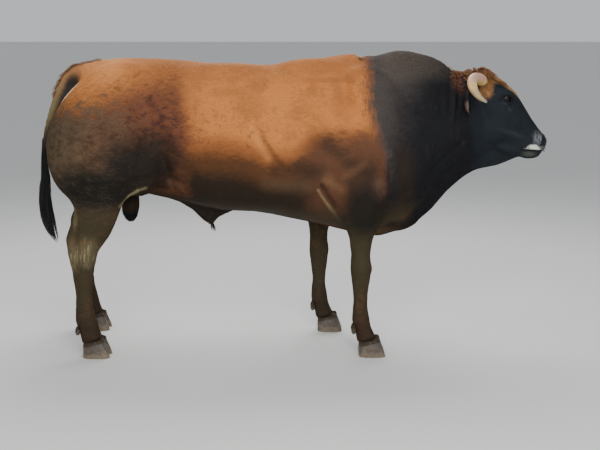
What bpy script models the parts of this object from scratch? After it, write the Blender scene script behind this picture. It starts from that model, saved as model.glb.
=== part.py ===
"""A life-size Parthenaise bull as a still museum model, parted where a person would name its parts.

The bull stands on the floor, z = 0, and faces +X. Its right side looks towards -Y.
The flesh is lofted and fused in one piece, then parted with cuts as thin as GAP. Horns, ears,
hair and dewclaws are seated on it with the same gap.
Run it with: blender --background --python part.py
"""
import math
import random
from collections import namedtuple

import bmesh
import bpy
from mathutils import Matrix, Vector
from mathutils.bvhtree import BVHTree

GAP = 0.0003
SIDES = (("right", -1), ("left", 1))

# One cross-section of the trunk or head: its upper and lower points (x, z), half its width, the
# share of its height at which it is widest, and how square its upper and lower halves are, where
# 2 is an ellipse.
Section = namedtuple("Section", "top bottom half_width widest square_top square_bottom")

TRUNK = (
    Section((-1.055, 1.345), (-1.055, 1.150), 0.060, 0.50, 2.0, 2.0),
    Section((-1.000, 1.425), (-1.000, 0.980), 0.120, 0.55, 2.0, 2.0),
    Section((-0.900, 1.452), (-0.900, 0.850), 0.210, 0.55, 2.1, 2.0),
    Section((-0.760, 1.456), (-0.760, 0.790), 0.275, 0.55, 2.4, 2.1),
    Section((-0.560, 1.447), (-0.560, 0.745), 0.308, 0.51, 2.7, 2.2),
    Section((-0.360, 1.427), (-0.360, 0.700), 0.335, 0.47, 2.5, 2.2),
    Section((-0.160, 1.420), (-0.160, 0.690), 0.370, 0.45, 2.4, 2.2),
    Section((0.020, 1.434), (0.020, 0.656), 0.374, 0.45, 2.3, 2.2),
    Section((0.180, 1.460), (0.180, 0.618), 0.342, 0.45, 2.0, 2.1),
    Section((0.300, 1.477), (0.300, 0.586), 0.308, 0.45, 1.9, 2.0),
    Section((0.390, 1.464), (0.390, 0.570), 0.290, 0.46, 1.9, 2.0),
    Section((0.540, 1.492), (0.540, 0.615), 0.264, 0.49, 1.8, 1.8),
    Section((0.680, 1.460), (0.680, 0.700), 0.232, 0.50, 1.8, 1.7),
    Section((0.800, 1.384), (0.800, 0.828), 0.194, 0.50, 1.9, 1.7),
    Section((0.900, 1.372), (0.900, 0.905), 0.150, 0.52, 2.0, 1.8),
    Section((0.990, 1.290), (0.990, 0.960), 0.090, 0.50, 2.0, 2.0),
)

DEWLAP = (
    Section((1.140, 1.000), (1.140, 0.962), 0.028, 0.60, 2.0, 2.0),
    Section((1.040, 1.040), (1.040, 0.921), 0.046, 0.60, 2.0, 2.0),
    Section((0.920, 1.020), (0.920, 0.892), 0.060, 0.60, 2.0, 2.0),
    Section((0.800, 0.950), (0.800, 0.796), 0.068, 0.60, 2.0, 2.0),
    Section((0.700, 0.870), (0.700, 0.684), 0.078, 0.60, 2.0, 2.0),
    Section((0.600, 0.820), (0.600, 0.616), 0.086, 0.60, 2.0, 2.0),
    Section((0.500, 0.760), (0.500, 0.574), 0.096, 0.60, 2.0, 2.0),
    Section((0.430, 0.720), (0.430, 0.560), 0.098, 0.60, 2.0, 2.0),
    Section((0.350, 0.720), (0.350, 0.590), 0.070, 0.60, 2.0, 2.0),
)

SHEATH = (
    Section((-0.700, 0.810), (-0.700, 0.766), 0.030, 0.60, 2.0, 2.0),
    Section((-0.600, 0.800), (-0.600, 0.746), 0.046, 0.60, 2.0, 2.0),
    Section((-0.500, 0.780), (-0.500, 0.694), 0.052, 0.60, 2.0, 2.0),
    Section((-0.430, 0.740), (-0.430, 0.628), 0.042, 0.60, 2.0, 2.0),
    Section((-0.398, 0.710), (-0.398, 0.612), 0.030, 0.60, 2.0, 2.0),
    Section((-0.370, 0.720), (-0.370, 0.650), 0.030, 0.60, 2.0, 2.0),
    Section((-0.290, 0.740), (-0.290, 0.685), 0.025, 0.60, 2.0, 2.0),
)

HEAD = (
    Section((0.880, 1.355), (0.905, 1.120), 0.090, 0.60, 2.2, 2.2),
    Section((0.935, 1.384), (0.930, 1.060), 0.124, 0.66, 2.6, 2.2),
    Section((1.010, 1.357), (0.965, 1.026), 0.132, 0.71, 3.0, 2.2),
    Section((1.092, 1.306), (1.018, 1.006), 0.122, 0.70, 2.9, 2.2),
    Section((1.145, 1.237), (1.066, 0.991), 0.101, 0.62, 2.6, 2.3),
    Section((1.194, 1.163), (1.118, 0.974), 0.085, 0.56, 2.4, 2.4),
    Section((1.238, 1.103), (1.165, 0.961), 0.082, 0.53, 2.4, 2.4),
    Section((1.268, 1.064), (1.220, 0.961), 0.078, 0.60, 2.4, 2.2),
    Section((1.279, 1.040), (1.247, 0.980), 0.052, 0.60, 2.0, 2.0),
)

# One level cross-section of a leg: its height, its rear and front x, its middle's distance from
# the body's middle plane, and half its width across the body.
Level = namedtuple("Level", "z rear front y half_width")

HIND_LEG = (
    Level(1.400, -0.960, -0.780, 0.130, 0.050),
    Level(1.310, -1.050, -0.690, 0.168, 0.130),
    Level(1.220, -1.118, -0.645, 0.186, 0.176),
    Level(1.100, -1.170, -0.620, 0.188, 0.197),
    Level(0.980, -1.177, -0.618, 0.192, 0.196),
    Level(0.900, -1.158, -0.650, 0.198, 0.176),
    Level(0.840, -1.126, -0.720, 0.212, 0.140),
    Level(0.780, -1.066, -0.792, 0.224, 0.104),
    Level(0.725, -1.047, -0.820, 0.231, 0.084),
    Level(0.650, -1.074, -0.850, 0.237, 0.065),
    Level(0.590, -1.089, -0.884, 0.240, 0.055),
    Level(0.530, -1.086, -0.930, 0.240, 0.055),
    Level(0.480, -1.076, -0.946, 0.240, 0.054),
    Level(0.420, -1.066, -0.958, 0.240, 0.043),
    Level(0.300, -1.056, -0.972, 0.240, 0.033),
    Level(0.180, -1.060, -0.952, 0.240, 0.048),
    Level(0.130, -1.044, -0.940, 0.240, 0.047),
    Level(0.060, -1.030, -0.915, 0.240, 0.052),
)

FORE_LEG = (
    Level(1.180, 0.290, 0.460, 0.200, 0.060),
    Level(1.020, 0.222, 0.505, 0.224, 0.098),
    Level(0.880, 0.192, 0.488, 0.239, 0.104),
    Level(0.770, 0.205, 0.463, 0.240, 0.094),
    Level(0.690, 0.248, 0.444, 0.236, 0.079),
    Level(0.600, 0.282, 0.409, 0.227, 0.060),
    Level(0.520, 0.294, 0.392, 0.221, 0.051),
    Level(0.440, 0.292, 0.399, 0.220, 0.055),
    Level(0.370, 0.300, 0.391, 0.220, 0.048),
    Level(0.280, 0.308, 0.381, 0.220, 0.035),
    Level(0.180, 0.302, 0.393, 0.220, 0.048),
    Level(0.130, 0.316, 0.406, 0.220, 0.046),
    Level(0.060, 0.330, 0.445, 0.220, 0.052),
)

# How far each leg stands from its drawn place along x. The shift grows from nothing at the
# upper height to its full size at the lower one.
LEG_SHIFT = {("hind", -1): 0.0, ("hind", 1): -0.090, ("fore", -1): 0.0, ("fore", 1): -0.197}
SHIFT_FROM, SHIFT_FULL = 1.00, 0.60

# Muscles that swell from the body on both sides: centre, radii and lean about the y axis.
Muscle = namedtuple("Muscle", "centre radii lean")
MUSCLES = (
    Muscle((-0.800, 0.150, 1.290), (0.220, 0.140, 0.155), 0),
    Muscle((-0.340, 0.105, 1.345), (0.420, 0.100, 0.085), 0),
    Muscle((-0.700, 0.235, 0.960), (0.110, 0.095, 0.170), 15),
    Muscle((0.420, 0.165, 1.140), (0.175, 0.145, 0.300), -20),
    Muscle((0.270, 0.250, 0.950), (0.140, 0.105, 0.170), -25),
    Muscle((0.395, 0.262, 0.850), (0.090, 0.080, 0.130), 0),
    Muscle((0.140, 0.080, 1.350), (0.300, 0.110, 0.105), 0),
)
MIDDLE_SWELLINGS = (
    Muscle((0.570, 0, 1.330), (0.250, 0.140, 0.150), 0),
    Muscle((0.520, 0, 0.700), (0.150, 0.130, 0.115), 0),
    Muscle((-0.812, 0, 0.735), (0.050, 0.060, 0.108), 0),
    Muscle((-1.035, 0, 1.205), (0.075, 0.085, 0.105), 0),
)
HEAD_SWELLINGS = (
    Muscle((1.040, 0.106, 1.262), (0.052, 0.039, 0.044), 0),
    Muscle((1.018, 0.104, 1.303), (0.048, 0.030, 0.020), 18),
    Muscle((0.990, 0.078, 1.130), (0.080, 0.048, 0.100), -20),
    Muscle((1.088, 0.092, 1.172), (0.026, 0.022, 0.070), -33),
    Muscle((1.075, 0.052, 1.012), (0.095, 0.032, 0.028), 14),
    Muscle((1.236, 0.044, 1.052), (0.036, 0.044, 0.037), 0),
    Muscle((1.188, 0.050, 1.020), (0.052, 0.037, 0.021), 0),
    Muscle((1.190, 0.026, 0.978), (0.054, 0.040, 0.022), 0),
)

# Points along a middle line with the radius of the tube there.
Bead = namedtuple("Bead", "point radius")
DOCK = (
    Bead((-0.960, 0, 1.405), 0.030),
    Bead((-1.030, 0, 1.402), 0.032),
    Bead((-1.092, 0, 1.366), 0.031),
    Bead((-1.132, 0, 1.322), 0.028),
    Bead((-1.177, 0, 1.219), 0.021),
    Bead((-1.220, 0, 1.095), 0.017),
    Bead((-1.239, 0, 0.960), 0.016),
    Bead((-1.239, 0, 0.840), 0.014),
)
# The fold of skin under the root of the tail, which fills the groove in front of it.
DOCK_FOLD = (
    Bead((-1.088, 0, 1.345), 0.020),
    Bead((-1.100, 0, 1.310), 0.022),
    Bead((-1.121, 0, 1.275), 0.020),
    Bead((-1.139, 0, 1.235), 0.018),
    Bead((-1.156, 0, 1.192), 0.017),
    Bead((-1.180, 0, 1.140), 0.014),
)
SWITCH = (
    Bead((-1.239, 0, 0.850), 0.015),
    Bead((-1.239, 0, 0.800), 0.028),
    Bead((-1.243, 0, 0.735), 0.039),
    Bead((-1.232, 0, 0.650), 0.038),
    Bead((-1.218, 0, 0.585), 0.031),
    Bead((-1.188, 0, 0.512), 0.006),
)
HORN = (
    Bead((0.950, 0.070, 1.325), 0.026),
    Bead((0.918, 0.122, 1.352), 0.027),
    Bead((0.880, 0.176, 1.358), 0.0255),
    Bead((0.862, 0.222, 1.338), 0.023),
    Bead((0.868, 0.254, 1.306), 0.019),
    Bead((0.890, 0.275, 1.276), 0.0135),
    Bead((0.918, 0.288, 1.256), 0.0065),
)

EYE_RADIUS = 0.021
EYE_CENTRE = (1.046, 0.118, 1.262)
EYE_TURN, EYE_SLANT = 22, -24
# Half the length and height of the slit between the lids, and how it widens outwards: the
# distance from the eye's middle and the share of the slit's size there.
EYE_OPENING = (0.021, 0.0115)
LID_FLARE = ((0.004, 0.97), (EYE_RADIUS, 1.0), (0.060, 1.6))

EAR_ROOT, EAR_TIP = (0.885, 0.082, 1.292), (0.835, 0.288, 1.222)
EAR_HALF_WIDTH, EAR_CUP, EAR_SKIN = 0.050, 0.036, 0.007
# The way the cup opens, and how far the tip droops.
EAR_OPENING, EAR_DROOP = (0.80, 0, 0.10), 0.012

# A nostril's groove from its inner end: distance from the middle plane, height, radius and depth.
NOSTRIL = (
    (0.0200, 1.046, 0.0080, 0.004),
    (0.0330, 1.053, 0.0115, 0.003),
    (0.0490, 1.064, 0.0105, 0.001),
    (0.0620, 1.077, 0.0070, 0.000),
    (0.0700, 1.086, 0.0035, 0.000),
)

# The passage behind a nostril: how far back, inwards and up it runs, as a share of its radius.
NASAL_PASSAGE = ((0, 0, 0, 0.95), (0.025, 0.002, 0.006, 0.80), (0.050, 0.003, 0.012, 0.50))
# The mouth: its height in front, how much its corners rise, how far back they lie, its depth
# into the lips and its half height at their edge.
MOUTH_FRONT, MOUTH_HEIGHT, MOUTH_RISE, MOUTH_REACH = 1.225, 0.998, 0.011, 0.093
MOUTH_DEPTH, MOUTH_HALF = 0.013, 0.0045

RING_CENTRE, RING_RADIUS, RING_WIRE, RING_LEAN = (1.268, 0, 1.014), 0.032, 0.0035, -20

# Long hair: how many locks each part has, with the length, width and thickness of the middle one.
Hair = namedtuple("Hair", "locks length width thickness")
SWITCH_HAIR = Hair(13, 0.210, 0.042, 0.016)
POLL_HAIR = Hair(16, 0.092, 0.042, 0.015)
SHEATH_HAIR = Hair(4, 0.058, 0.016, 0.009)
# The turn in radians from each root to the next, which spreads them evenly.
GOLDEN_TURN = 2.4
# How far a switch lock runs along the brush, and how far out its points lie in it.
SWITCH_RUN, SWITCH_OUT = 0.62, (0.30, 0.80, 0.95, 0.80)
# The middle of the poll, where its hair parts, and how far from it the outer locks are rooted.
POLL_WHORL, POLL_REACH = (0.914, 0), (0.062, 0.084)
POLL_CORE = Muscle((0.938, 0, 1.370), (0.050, 0.070, 0.028), 14)
SHEATH_TIP = (-0.400, 0, 0.622)
HAIR_SEED = 1

# Where the hoof begins: its height at the foot's middle and how much it falls for each metre
# towards the heel. A claw is CLAW_LENGTH long at the sole.
CORONET_HEIGHT, CORONET_SLOPE = 0.078, 0.28
CORONET_CUT = (0.30, 0.24)
CLAW_LENGTH, CLAW_WIDTH, CLEFT = 0.118, 0.057, 0.0035
# The claw's outline from the coronet down to the sole: the share of the way down, how far the
# heel and the toe lie from the foot's middle, and the claw's width.
CLAW_LEVELS = (
    (0.00, -0.043, 0.052, CLAW_WIDTH - 0.008),
    (0.35, -0.046, 0.064, CLAW_WIDTH - 0.004),
    (0.80, -0.047, 0.080, CLAW_WIDTH - 0.001),
    (1.00, -0.045, CLAW_LENGTH - 0.033, CLAW_WIDTH),
)
# The dewclaw: its height, its distance from the foot's middle, its radii and its lean, with the
# x of the heel that each pair grows from.
DEWCLAW_HEIGHT, DEWCLAW_OUT, DEWCLAW_RADII, DEWCLAW_LEAN = 0.132, 0.024, (0.012, 0.012, 0.019), 25
DEWCLAW_HEEL = {"fore": 0.312, "hind": -1.046}
FEET = (
    ("fore", "right", -1, 0.3850, 0.220),
    ("fore", "left", 1, 0.3850, 0.220),
    ("hind", "right", -1, -0.9750, 0.240),
    ("hind", "left", 1, -0.9750, 0.240),
)

# A thin parting cut: its centre, its turn in degrees about x and y, and its size.
Parting = namedtuple("Parting", "centre turn size")
PARTINGS = (
    Parting((0.885, 0, 1.140), (0, -9.8), (GAP, 0.90, 0.80)),
    Parting((0.520, 0, 1.030), (0, -17.8), (GAP, 1.00, 1.30)),
    Parting((-1.108, 0, 1.352), (0, -46), (GAP, 0.14, 0.13)),
    Parting((-1.104, 0, 1.252), (0, 26.9), (GAP, 0.10, 0.175)),
    Parting((0.335, -0.250, 0.693), (-35.6, 0), (0.42, 0.40, GAP)),
    Parting((0.190, 0.250, 0.693), (35.6, 0), (0.46, 0.40, GAP)),
    Parting((-0.945, -0.270, 0.803), (-24, 0), (0.60, 0.39, GAP)),
    Parting((-0.990, 0.270, 0.803), (24, 0), (0.62, 0.39, GAP)),
)

# The parts of the flesh, each with a point near its middle.
FLESH_PARTS = (
    ("head", (1.050, 0, 1.150)),
    ("neck", (0.730, 0, 1.050)),
    ("torso", (-0.150, 0, 1.050)),
    ("tail", (-1.190, 0, 1.150)),
    ("leg_front_right", (0.340, -0.225, 0.400)),
    ("leg_front_left", (0.143, 0.225, 0.400)),
    ("leg_hind_right", (-1.000, -0.235, 0.400)),
    ("leg_hind_left", (-1.090, 0.235, 0.400)),
)
# The x from which the head begins, in front of the nape, and the triangles left on the flesh
# behind it and before it.
NAPE, NAPE_BLEND = 0.87, 0.03
BODY_TRIANGLES, HEAD_TRIANGLES = 5000, 1900
# Where muscles melt into the trunk: above the legs, behind the head and in front of the tail.
LEG_MELT, HEAD_MELT = (0.62, 0.84), (0.94, 0.82)
TAIL_MELT_Y, TAIL_MELT_X = (0.07, 0.04), (-1.02, -1.08)
FLESH_VOXEL, SOFTENING, MELTING = 0.007, 6, 70
# Points closer than this are one, where the surface stays closed with it.
MERGES = (0.00002, 0.000004, 0.000001, 0.0)

# Colour, roughness and metallic value of each finish.
FINISHES = {
    "coat": ((0.52, 0.23, 0.09, 1), 0.75, 0),
    "dark_coat": ((0.035, 0.030, 0.032, 1), 0.7, 0),
    "red_hair": ((0.24, 0.075, 0.03, 1), 0.7, 0),
    "black_hair": ((0.02, 0.018, 0.017, 1), 0.6, 0),
    "horn": ((0.72, 0.64, 0.50, 1), 0.4, 0),
    "hoof": ((0.07, 0.06, 0.055, 1), 0.45, 0),
    "eye": ((0.02, 0.012, 0.01, 1), 0.08, 0),
    "steel": ((0.6, 0.6, 0.6, 1), 0.25, 1),
}


def new_object(name, mesh):
    """An object holding the mesh, linked to the scene."""
    obj = bpy.data.objects.new(name, mesh)
    bpy.context.scene.collection.objects.link(obj)
    return obj


def from_bmesh(name, bm):
    """An object made from a bmesh whose faces are turned outwards."""
    bmesh.ops.recalc_face_normals(bm, faces=bm.faces)
    mesh = bpy.data.meshes.new(name)
    bm.to_mesh(mesh)
    bm.free()
    return new_object(name, mesh)


def baked(obj):
    """Replaces the object's mesh by its evaluated one and clears its modifiers."""
    graph = bpy.context.evaluated_depsgraph_get()
    mesh = bpy.data.meshes.new_from_object(obj.evaluated_get(graph))
    obj.modifiers.clear()
    obj.data = mesh
    return obj


def joined(name, pieces):
    """One object with the meshes of all the pieces, which are removed."""
    bm = bmesh.new()
    for piece in pieces:
        bm.from_mesh(piece.data)
        bpy.data.objects.remove(piece)
    mesh = bpy.data.meshes.new(name)
    bm.to_mesh(mesh)
    bm.free()
    return new_object(name, mesh)


def islands(bm):
    """The separate surfaces of a bmesh, as lists of faces, largest first."""
    left, found = set(bm.faces), []
    while left:
        queue = [left.pop()]
        for face in queue:
            for edge in face.edges:
                for other in edge.link_faces:
                    if other in left:
                        left.remove(other)
                        queue.append(other)
        found.append(queue)
    return sorted(found, key=len, reverse=True)


def cleaned(mesh, merge):
    """A bmesh of the mesh's largest surface, in triangles, with points closer than merge united."""
    bm = bmesh.new()
    bm.from_mesh(mesh)
    bmesh.ops.remove_doubles(bm, verts=bm.verts, dist=merge)
    bmesh.ops.dissolve_degenerate(bm, edges=bm.edges, dist=merge)
    bmesh.ops.triangulate(bm, faces=bm.faces)
    for scrap in islands(bm)[1:]:
        bmesh.ops.delete(bm, geom=scrap, context="FACES")
    return bm


def tidy(obj):
    """Cleans the object with the widest of the MERGES that leaves its surface closed."""
    for merge in MERGES:
        bm = cleaned(obj.data, merge)
        closed = all(edge.is_manifold for edge in bm.edges)
        if closed or merge == MERGES[-1]:
            bm.to_mesh(obj.data)
        bm.free()
        if closed:
            break
    return obj


def cut(obj, cutter, solver="EXACT"):
    """Takes the cutter's space out of the object."""
    boolean = obj.modifiers.new("Cut", "BOOLEAN")
    boolean.operation = "DIFFERENCE"
    boolean.solver = solver
    boolean.object = cutter
    baked(obj)
    bpy.data.objects.remove(cutter)
    return obj


def grown(obj, by):
    """A copy of the object with its surface moved out."""
    bm = bmesh.new()
    bm.from_mesh(obj.data)
    bm.normal_update()
    moves = [(v, v.normal * by * min(v.calc_shell_factor(), 2)) for v in bm.verts]
    for vert, move in moves:
        vert.co += move
    return from_bmesh("grown", bm)


def smooth_rows(rows, places, steps):
    """Rows of numbers read from a smooth curve through the given rows, steps to each span."""
    slopes = []
    last = len(rows) - 1
    for i in range(len(rows)):
        a, b = max(i - 1, 0), min(i + 1, last)
        run = places[b] - places[a]
        slopes.append([(q - p) / run for p, q in zip(rows[a], rows[b])])
    made = []
    for i in range(last):
        span = places[i + 1] - places[i]
        count = steps if i < last - 1 else steps + 1
        for k in range(count):
            t = k / steps
            h = (2 * t**3 - 3 * t**2 + 1, t**3 - 2 * t**2 + t, 3 * t**2 - 2 * t**3, t**3 - t**2)
            made.append([
                h[0] * p + h[1] * span * m + h[2] * q + h[3] * span * n
                for p, q, m, n in zip(rows[i], rows[i + 1], slopes[i], slopes[i + 1])
            ])
    return made


def distances(points):
    """How far along a run of points each one lies."""
    found = [0.0]
    for a, b in zip(points, points[1:]):
        found.append(found[-1] + math.dist(a, b))
    return found


def ring_loft(name, rings):
    """A closed object through rings of points, each end closed by one face."""
    bm = bmesh.new()
    made = [[bm.verts.new(p) for p in ring] for ring in rings]
    count = len(made[0])
    for a, b in zip(made, made[1:]):
        for i in range(count):
            j = (i + 1) % count
            bm.faces.new((a[i], a[j], b[j], b[i]))
    for ring in (made[0], made[-1]):
        bm.faces.new(ring)
    return from_bmesh(name, bm)


def power(value, exponent):
    """A signed power, for square-shouldered ellipses."""
    return math.copysign(abs(value) ** exponent, value)


def section_loft(name, sections, steps=5, around=48):
    """A closed body through cross-sections that face along it."""
    rows = [(*s.top, *s.bottom, *s[2:]) for s in sections]
    middles = [((r[0] + r[2]) / 2, (r[1] + r[3]) / 2) for r in rows]
    rings = []
    for row in smooth_rows(rows, distances(middles), steps):
        top, bottom = Vector((row[0], 0, row[1])), Vector((row[2], 0, row[3]))
        half, widest, square_top, square_bottom = row[4:]
        middle = bottom.lerp(top, widest)
        ring = []
        for i in range(around):
            turn = 2 * math.pi * i / around
            c, s = math.cos(turn), math.sin(turn)
            end, square = (top, square_top) if s >= 0 else (bottom, square_bottom)
            point = middle + (end - middle) * abs(s) ** (2 / square)
            point.y = half * power(c, 2 / square)
            ring.append(point)
        rings.append(ring)
    return ring_loft(name, rings)


def shifted(z, shift):
    """How far a leg is shifted at height z."""
    return shift * ramp(z, SHIFT_FROM, SHIFT_FULL)


def leg_loft(name, levels, side, shift, steps=5, around=32):
    """A leg through its level cross-sections, on one side of the body."""
    rings = []
    for z, rear, front, y, half in smooth_rows(levels, [-level.z for level in levels], steps):
        middle, length = (rear + front) / 2 + shifted(z, shift), (front - rear) / 2
        ring = []
        for i in range(around):
            turn = 2 * math.pi * i / around
            ring.append(Vector((
                middle + length * math.cos(turn), side * y + half * math.sin(turn), z,
            )))
        rings.append(ring)
    return ring_loft(name, rings)


def tube(name, beads, steps=4, around=12, side=1):
    """A round tube of changing thickness through its beads, mirrored to the given side."""
    rows = [(b.point[0], side * b.point[1], b.point[2], b.radius) for b in beads]
    rows = smooth_rows(rows, distances([r[:3] for r in rows]), steps)
    points = [Vector(r[:3]) for r in rows]
    rings, across = [], None
    for i, point in enumerate(points):
        along = (points[min(i + 1, len(points) - 1)] - points[max(i - 1, 0)]).normalized()
        start = across if across else Vector((0, 1, 0.3))
        across = (start - along * start.dot(along)).normalized()
        up = along.cross(across)
        radius = rows[i][3]
        rings.append([
            point + radius * (across * math.cos(turn) + up * math.sin(turn))
            for turn in (2 * math.pi * k / around for k in range(around))
        ])
    return ring_loft(name, rings)


def swelling(name, muscle, side=1, around=32):
    """An ellipsoid, mirrored to the given side."""
    x, y, z = muscle.centre
    bm = bmesh.new()
    bmesh.ops.create_uvsphere(bm, u_segments=around, v_segments=around * 5 // 8, radius=1)
    bm.transform(
        Matrix.Translation((x, side * y, z))
        @ Matrix.Rotation(math.radians(muscle.lean), 4, "Y")
        @ Matrix.Diagonal((*muscle.radii, 1))
    )
    return from_bmesh(name, bm)


def ramp(value, start, end):
    """Rises smoothly from 0 at start to 1 at end."""
    t = min(max((value - start) / (end - start), 0), 1)
    return t * t * (3 - 2 * t)


def weigh(obj, name, rule):
    """A vertex group whose weights follow a rule on each point."""
    group = obj.vertex_groups.new(name=name)
    for vert in obj.data.vertices:
        group.add([vert.index], rule(vert.co), "REPLACE")
    return name


def lock(points, width, thickness, face):
    """A flat strand that tapers to a tip, with its broad side turned the way of face."""
    rings = []
    last = len(points) - 1
    for i, point in enumerate(points):
        along = (points[min(i + 1, last)] - points[max(i - 1, 0)]).normalized()
        across = along.cross(face).normalized()
        up = across.cross(along)
        t = i / last
        share = 0.74 + 0.9 * t - 1.54 * t * t * t
        half, thick = width / 2 * share, thickness / 2 * share
        rings.append([
            point + across * half * a + up * thick * b
            for a, b in ((1, 0), (0, 1), (-1, 0), (0, -0.7))
        ])
    return ring_loft("lock", rings)


def fused(core, pieces):
    """Unites the pieces with the core they are rooted in."""
    group = bpy.data.collections.new("pieces")
    for piece in pieces:
        group.objects.link(piece)
    boolean = core.modifiers.new("Fuse", "BOOLEAN")
    boolean.operation = "UNION"
    boolean.solver = "MANIFOLD"
    boolean.operand_type = "COLLECTION"
    boolean.collection = group
    baked(core)
    for piece in pieces:
        bpy.data.objects.remove(piece)
    bpy.data.collections.remove(group)
    return tidy(core)


def trunk_share(point):
    """1 where muscles melt into the trunk, 0 on the head, lower legs and tail."""
    share = ramp(point.z, *LEG_MELT) * ramp(point.x, *HEAD_MELT)
    tail = ramp(abs(point.y), *TAIL_MELT_Y) * ramp(point.x, *TAIL_MELT_X)
    return share * (1 - tail)


def thinned(obj, name, rule, triangles):
    """Leaves about that many triangles where the rule is above a half, and the rest as it is."""
    kept = 0
    for face in obj.data.polygons:
        if rule(face.center) <= 0.5:
            kept += len(face.vertices) - 2
    total = sum(len(face.vertices) - 2 for face in obj.data.polygons)
    thin = obj.modifiers.new("Thin", "DECIMATE")
    thin.ratio = (kept + triangles) / total
    thin.vertex_group = weigh(obj, name, rule)
    return baked(obj)


def make_flesh():
    """The trunk, neck, head, legs and dock in one piece, with few enough triangles."""
    pieces = [
        section_loft("trunk", TRUNK),
        section_loft("dewlap", DEWLAP),
        section_loft("sheath", SHEATH),
        section_loft("head", HEAD),
        tube("dock", DOCK, around=16),
        tube("fold", DOCK_FOLD, around=16),
    ]
    pieces += [swelling("swelling", muscle) for muscle in MIDDLE_SWELLINGS]
    for _, side in SIDES:
        pieces.append(leg_loft("hind", HIND_LEG, side, LEG_SHIFT["hind", side]))
        pieces.append(leg_loft("fore", FORE_LEG, side, LEG_SHIFT["fore", side]))
        for muscle in MUSCLES + HEAD_SWELLINGS:
            pieces.append(swelling("muscle", muscle, side))
    flesh = joined("flesh", pieces)
    fuse = flesh.modifiers.new("Fuse", "REMESH")
    fuse.mode = "VOXEL"
    fuse.voxel_size = FLESH_VOXEL
    baked(flesh)
    soften = flesh.modifiers.new("Soften", "SMOOTH")
    soften.iterations = SOFTENING
    melt = flesh.modifiers.new("Melt", "SMOOTH")
    melt.iterations = MELTING
    melt.vertex_group = weigh(flesh, "trunk", trunk_share)
    baked(flesh)
    front = NAPE + NAPE_BLEND
    thinned(flesh, "body", lambda p: ramp(p.x, front, NAPE), BODY_TRIANGLES)
    return thinned(flesh, "face", lambda p: ramp(p.x, NAPE, front), HEAD_TRIANGLES)


def slab(parting):
    """A box as thin as the gap between two parts."""
    bm = bmesh.new()
    bmesh.ops.create_cube(bm, size=1)
    bm.transform(
        Matrix.Translation(parting.centre)
        @ Matrix.Rotation(math.radians(parting.turn[0]), 4, "X")
        @ Matrix.Rotation(math.radians(parting.turn[1]), 4, "Y")
        @ Matrix.Diagonal((*parting.size, 1))
    )
    return from_bmesh("slab", bm)


def foot_middle(kind, side, x):
    """The x of a foot's middle, with the shift of its leg."""
    return x + LEG_SHIFT[kind, side]


def part_flesh(flesh):
    """Parts the flesh with thin cuts and names each part, leaving out what the hooves replace."""
    slabs = [slab(parting) for parting in PARTINGS]
    for kind, _, side, x, y in FEET:
        centre = (foot_middle(kind, side, x), side * y, CORONET_HEIGHT)
        lean = math.degrees(math.atan(-CORONET_SLOPE))
        slabs.append(slab(Parting(centre, (0, lean), (*CORONET_CUT, GAP))))
    cut(flesh, joined("slabs", slabs))
    bm = bmesh.new()
    bm.from_mesh(flesh.data)
    bpy.data.objects.remove(flesh)
    parts = {}
    pieces = []
    for faces in islands(bm):
        verts = list({v for face in faces for v in face.verts})
        middle = sum((v.co for v in verts), Vector()) / len(verts)
        pieces.append((middle, faces))
    for name, near in FLESH_PARTS:
        middle, faces = min(pieces, key=lambda piece: (piece[0] - Vector(near)).length)
        mesh = bpy.data.meshes.new(name)
        index = {}
        corners = []
        for face in faces:
            corners.append([index.setdefault(v, len(index)) for v in face.verts])
        mesh.from_pydata([v.co.copy() for v in index], [], corners)
        parts[name] = tidy(new_object(name, mesh))
    bm.free()
    return parts


def seated(obj, *bodies, solver="EXACT"):
    """Cuts the object back to GAP above each body that it sits on."""
    for body in bodies:
        tidy(cut(obj, grown(body, GAP), solver))
    return obj


def surface(body, origin, direction):
    """The point where a ray from outside first meets the body."""
    bm = bmesh.new()
    bm.from_mesh(body.data)
    tree = BVHTree.FromBMesh(bm)
    bm.free()
    return tree.ray_cast(Vector(origin), Vector(direction).normalized())[0]


def eye_frame(side):
    """Places a shape drawn along +Z on the eye, with +X along the slit between the lids."""
    x, y, z = EYE_CENTRE
    out = Matrix.Rotation(math.radians(-side * 90), 4, "X")
    turn = Matrix.Rotation(math.radians(-side * EYE_TURN), 4, "Z")
    slant = Matrix.Rotation(math.radians(-EYE_SLANT), 4, "Y")
    return Matrix.Translation((x, side * y, z)) @ turn @ slant @ out


def eyeball(name, side, extra=0):
    """The round eye, or with extra the hollow that it sits in."""
    bm = bmesh.new()
    bmesh.ops.create_uvsphere(bm, u_segments=14, v_segments=8, radius=EYE_RADIUS + extra)
    bm.transform(eye_frame(side))
    return from_bmesh(name, bm)


def lid_opening(side, steps=6):
    """The almond between the lids, from the eye's middle to well outside the head."""
    long, high = EYE_OPENING
    outline = []
    for i in range(2 * steps):
        turn = math.pi * i / steps
        outline.append((long * math.cos(turn), high * power(math.sin(turn), 1.3)))
    rings = []
    for z, grow in LID_FLARE:
        rings.append([eye_frame(side) @ Vector((x * grow, y * grow, z)) for x, y in outline])
    return ring_loft("opening", rings)


def nostril(head, side):
    """The comma of a nostril: a groove that runs from beside the septum up over the outer wing."""
    beads = []
    for y, z, radius, sunk in NOSTRIL:
        hit = surface(head, (1.5, side * y, z), (-1, 0, 0))
        beads.append(Bead((hit.x - sunk, y, z), radius))
    return tube("nostril", beads, steps=2, around=10, side=side)


def nasal_passage(head, side):
    """The hollow that goes on from a nostril into the nose."""
    y, z, radius, _ = NOSTRIL[1]
    hit = surface(head, (1.5, side * y, z), (-1, 0, 0))
    beads = [
        Bead((hit.x - back, y - inwards, z + up), radius * share)
        for back, inwards, up, share in NASAL_PASSAGE
    ]
    return tube("nasal", beads, steps=2, around=10, side=side)


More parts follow.
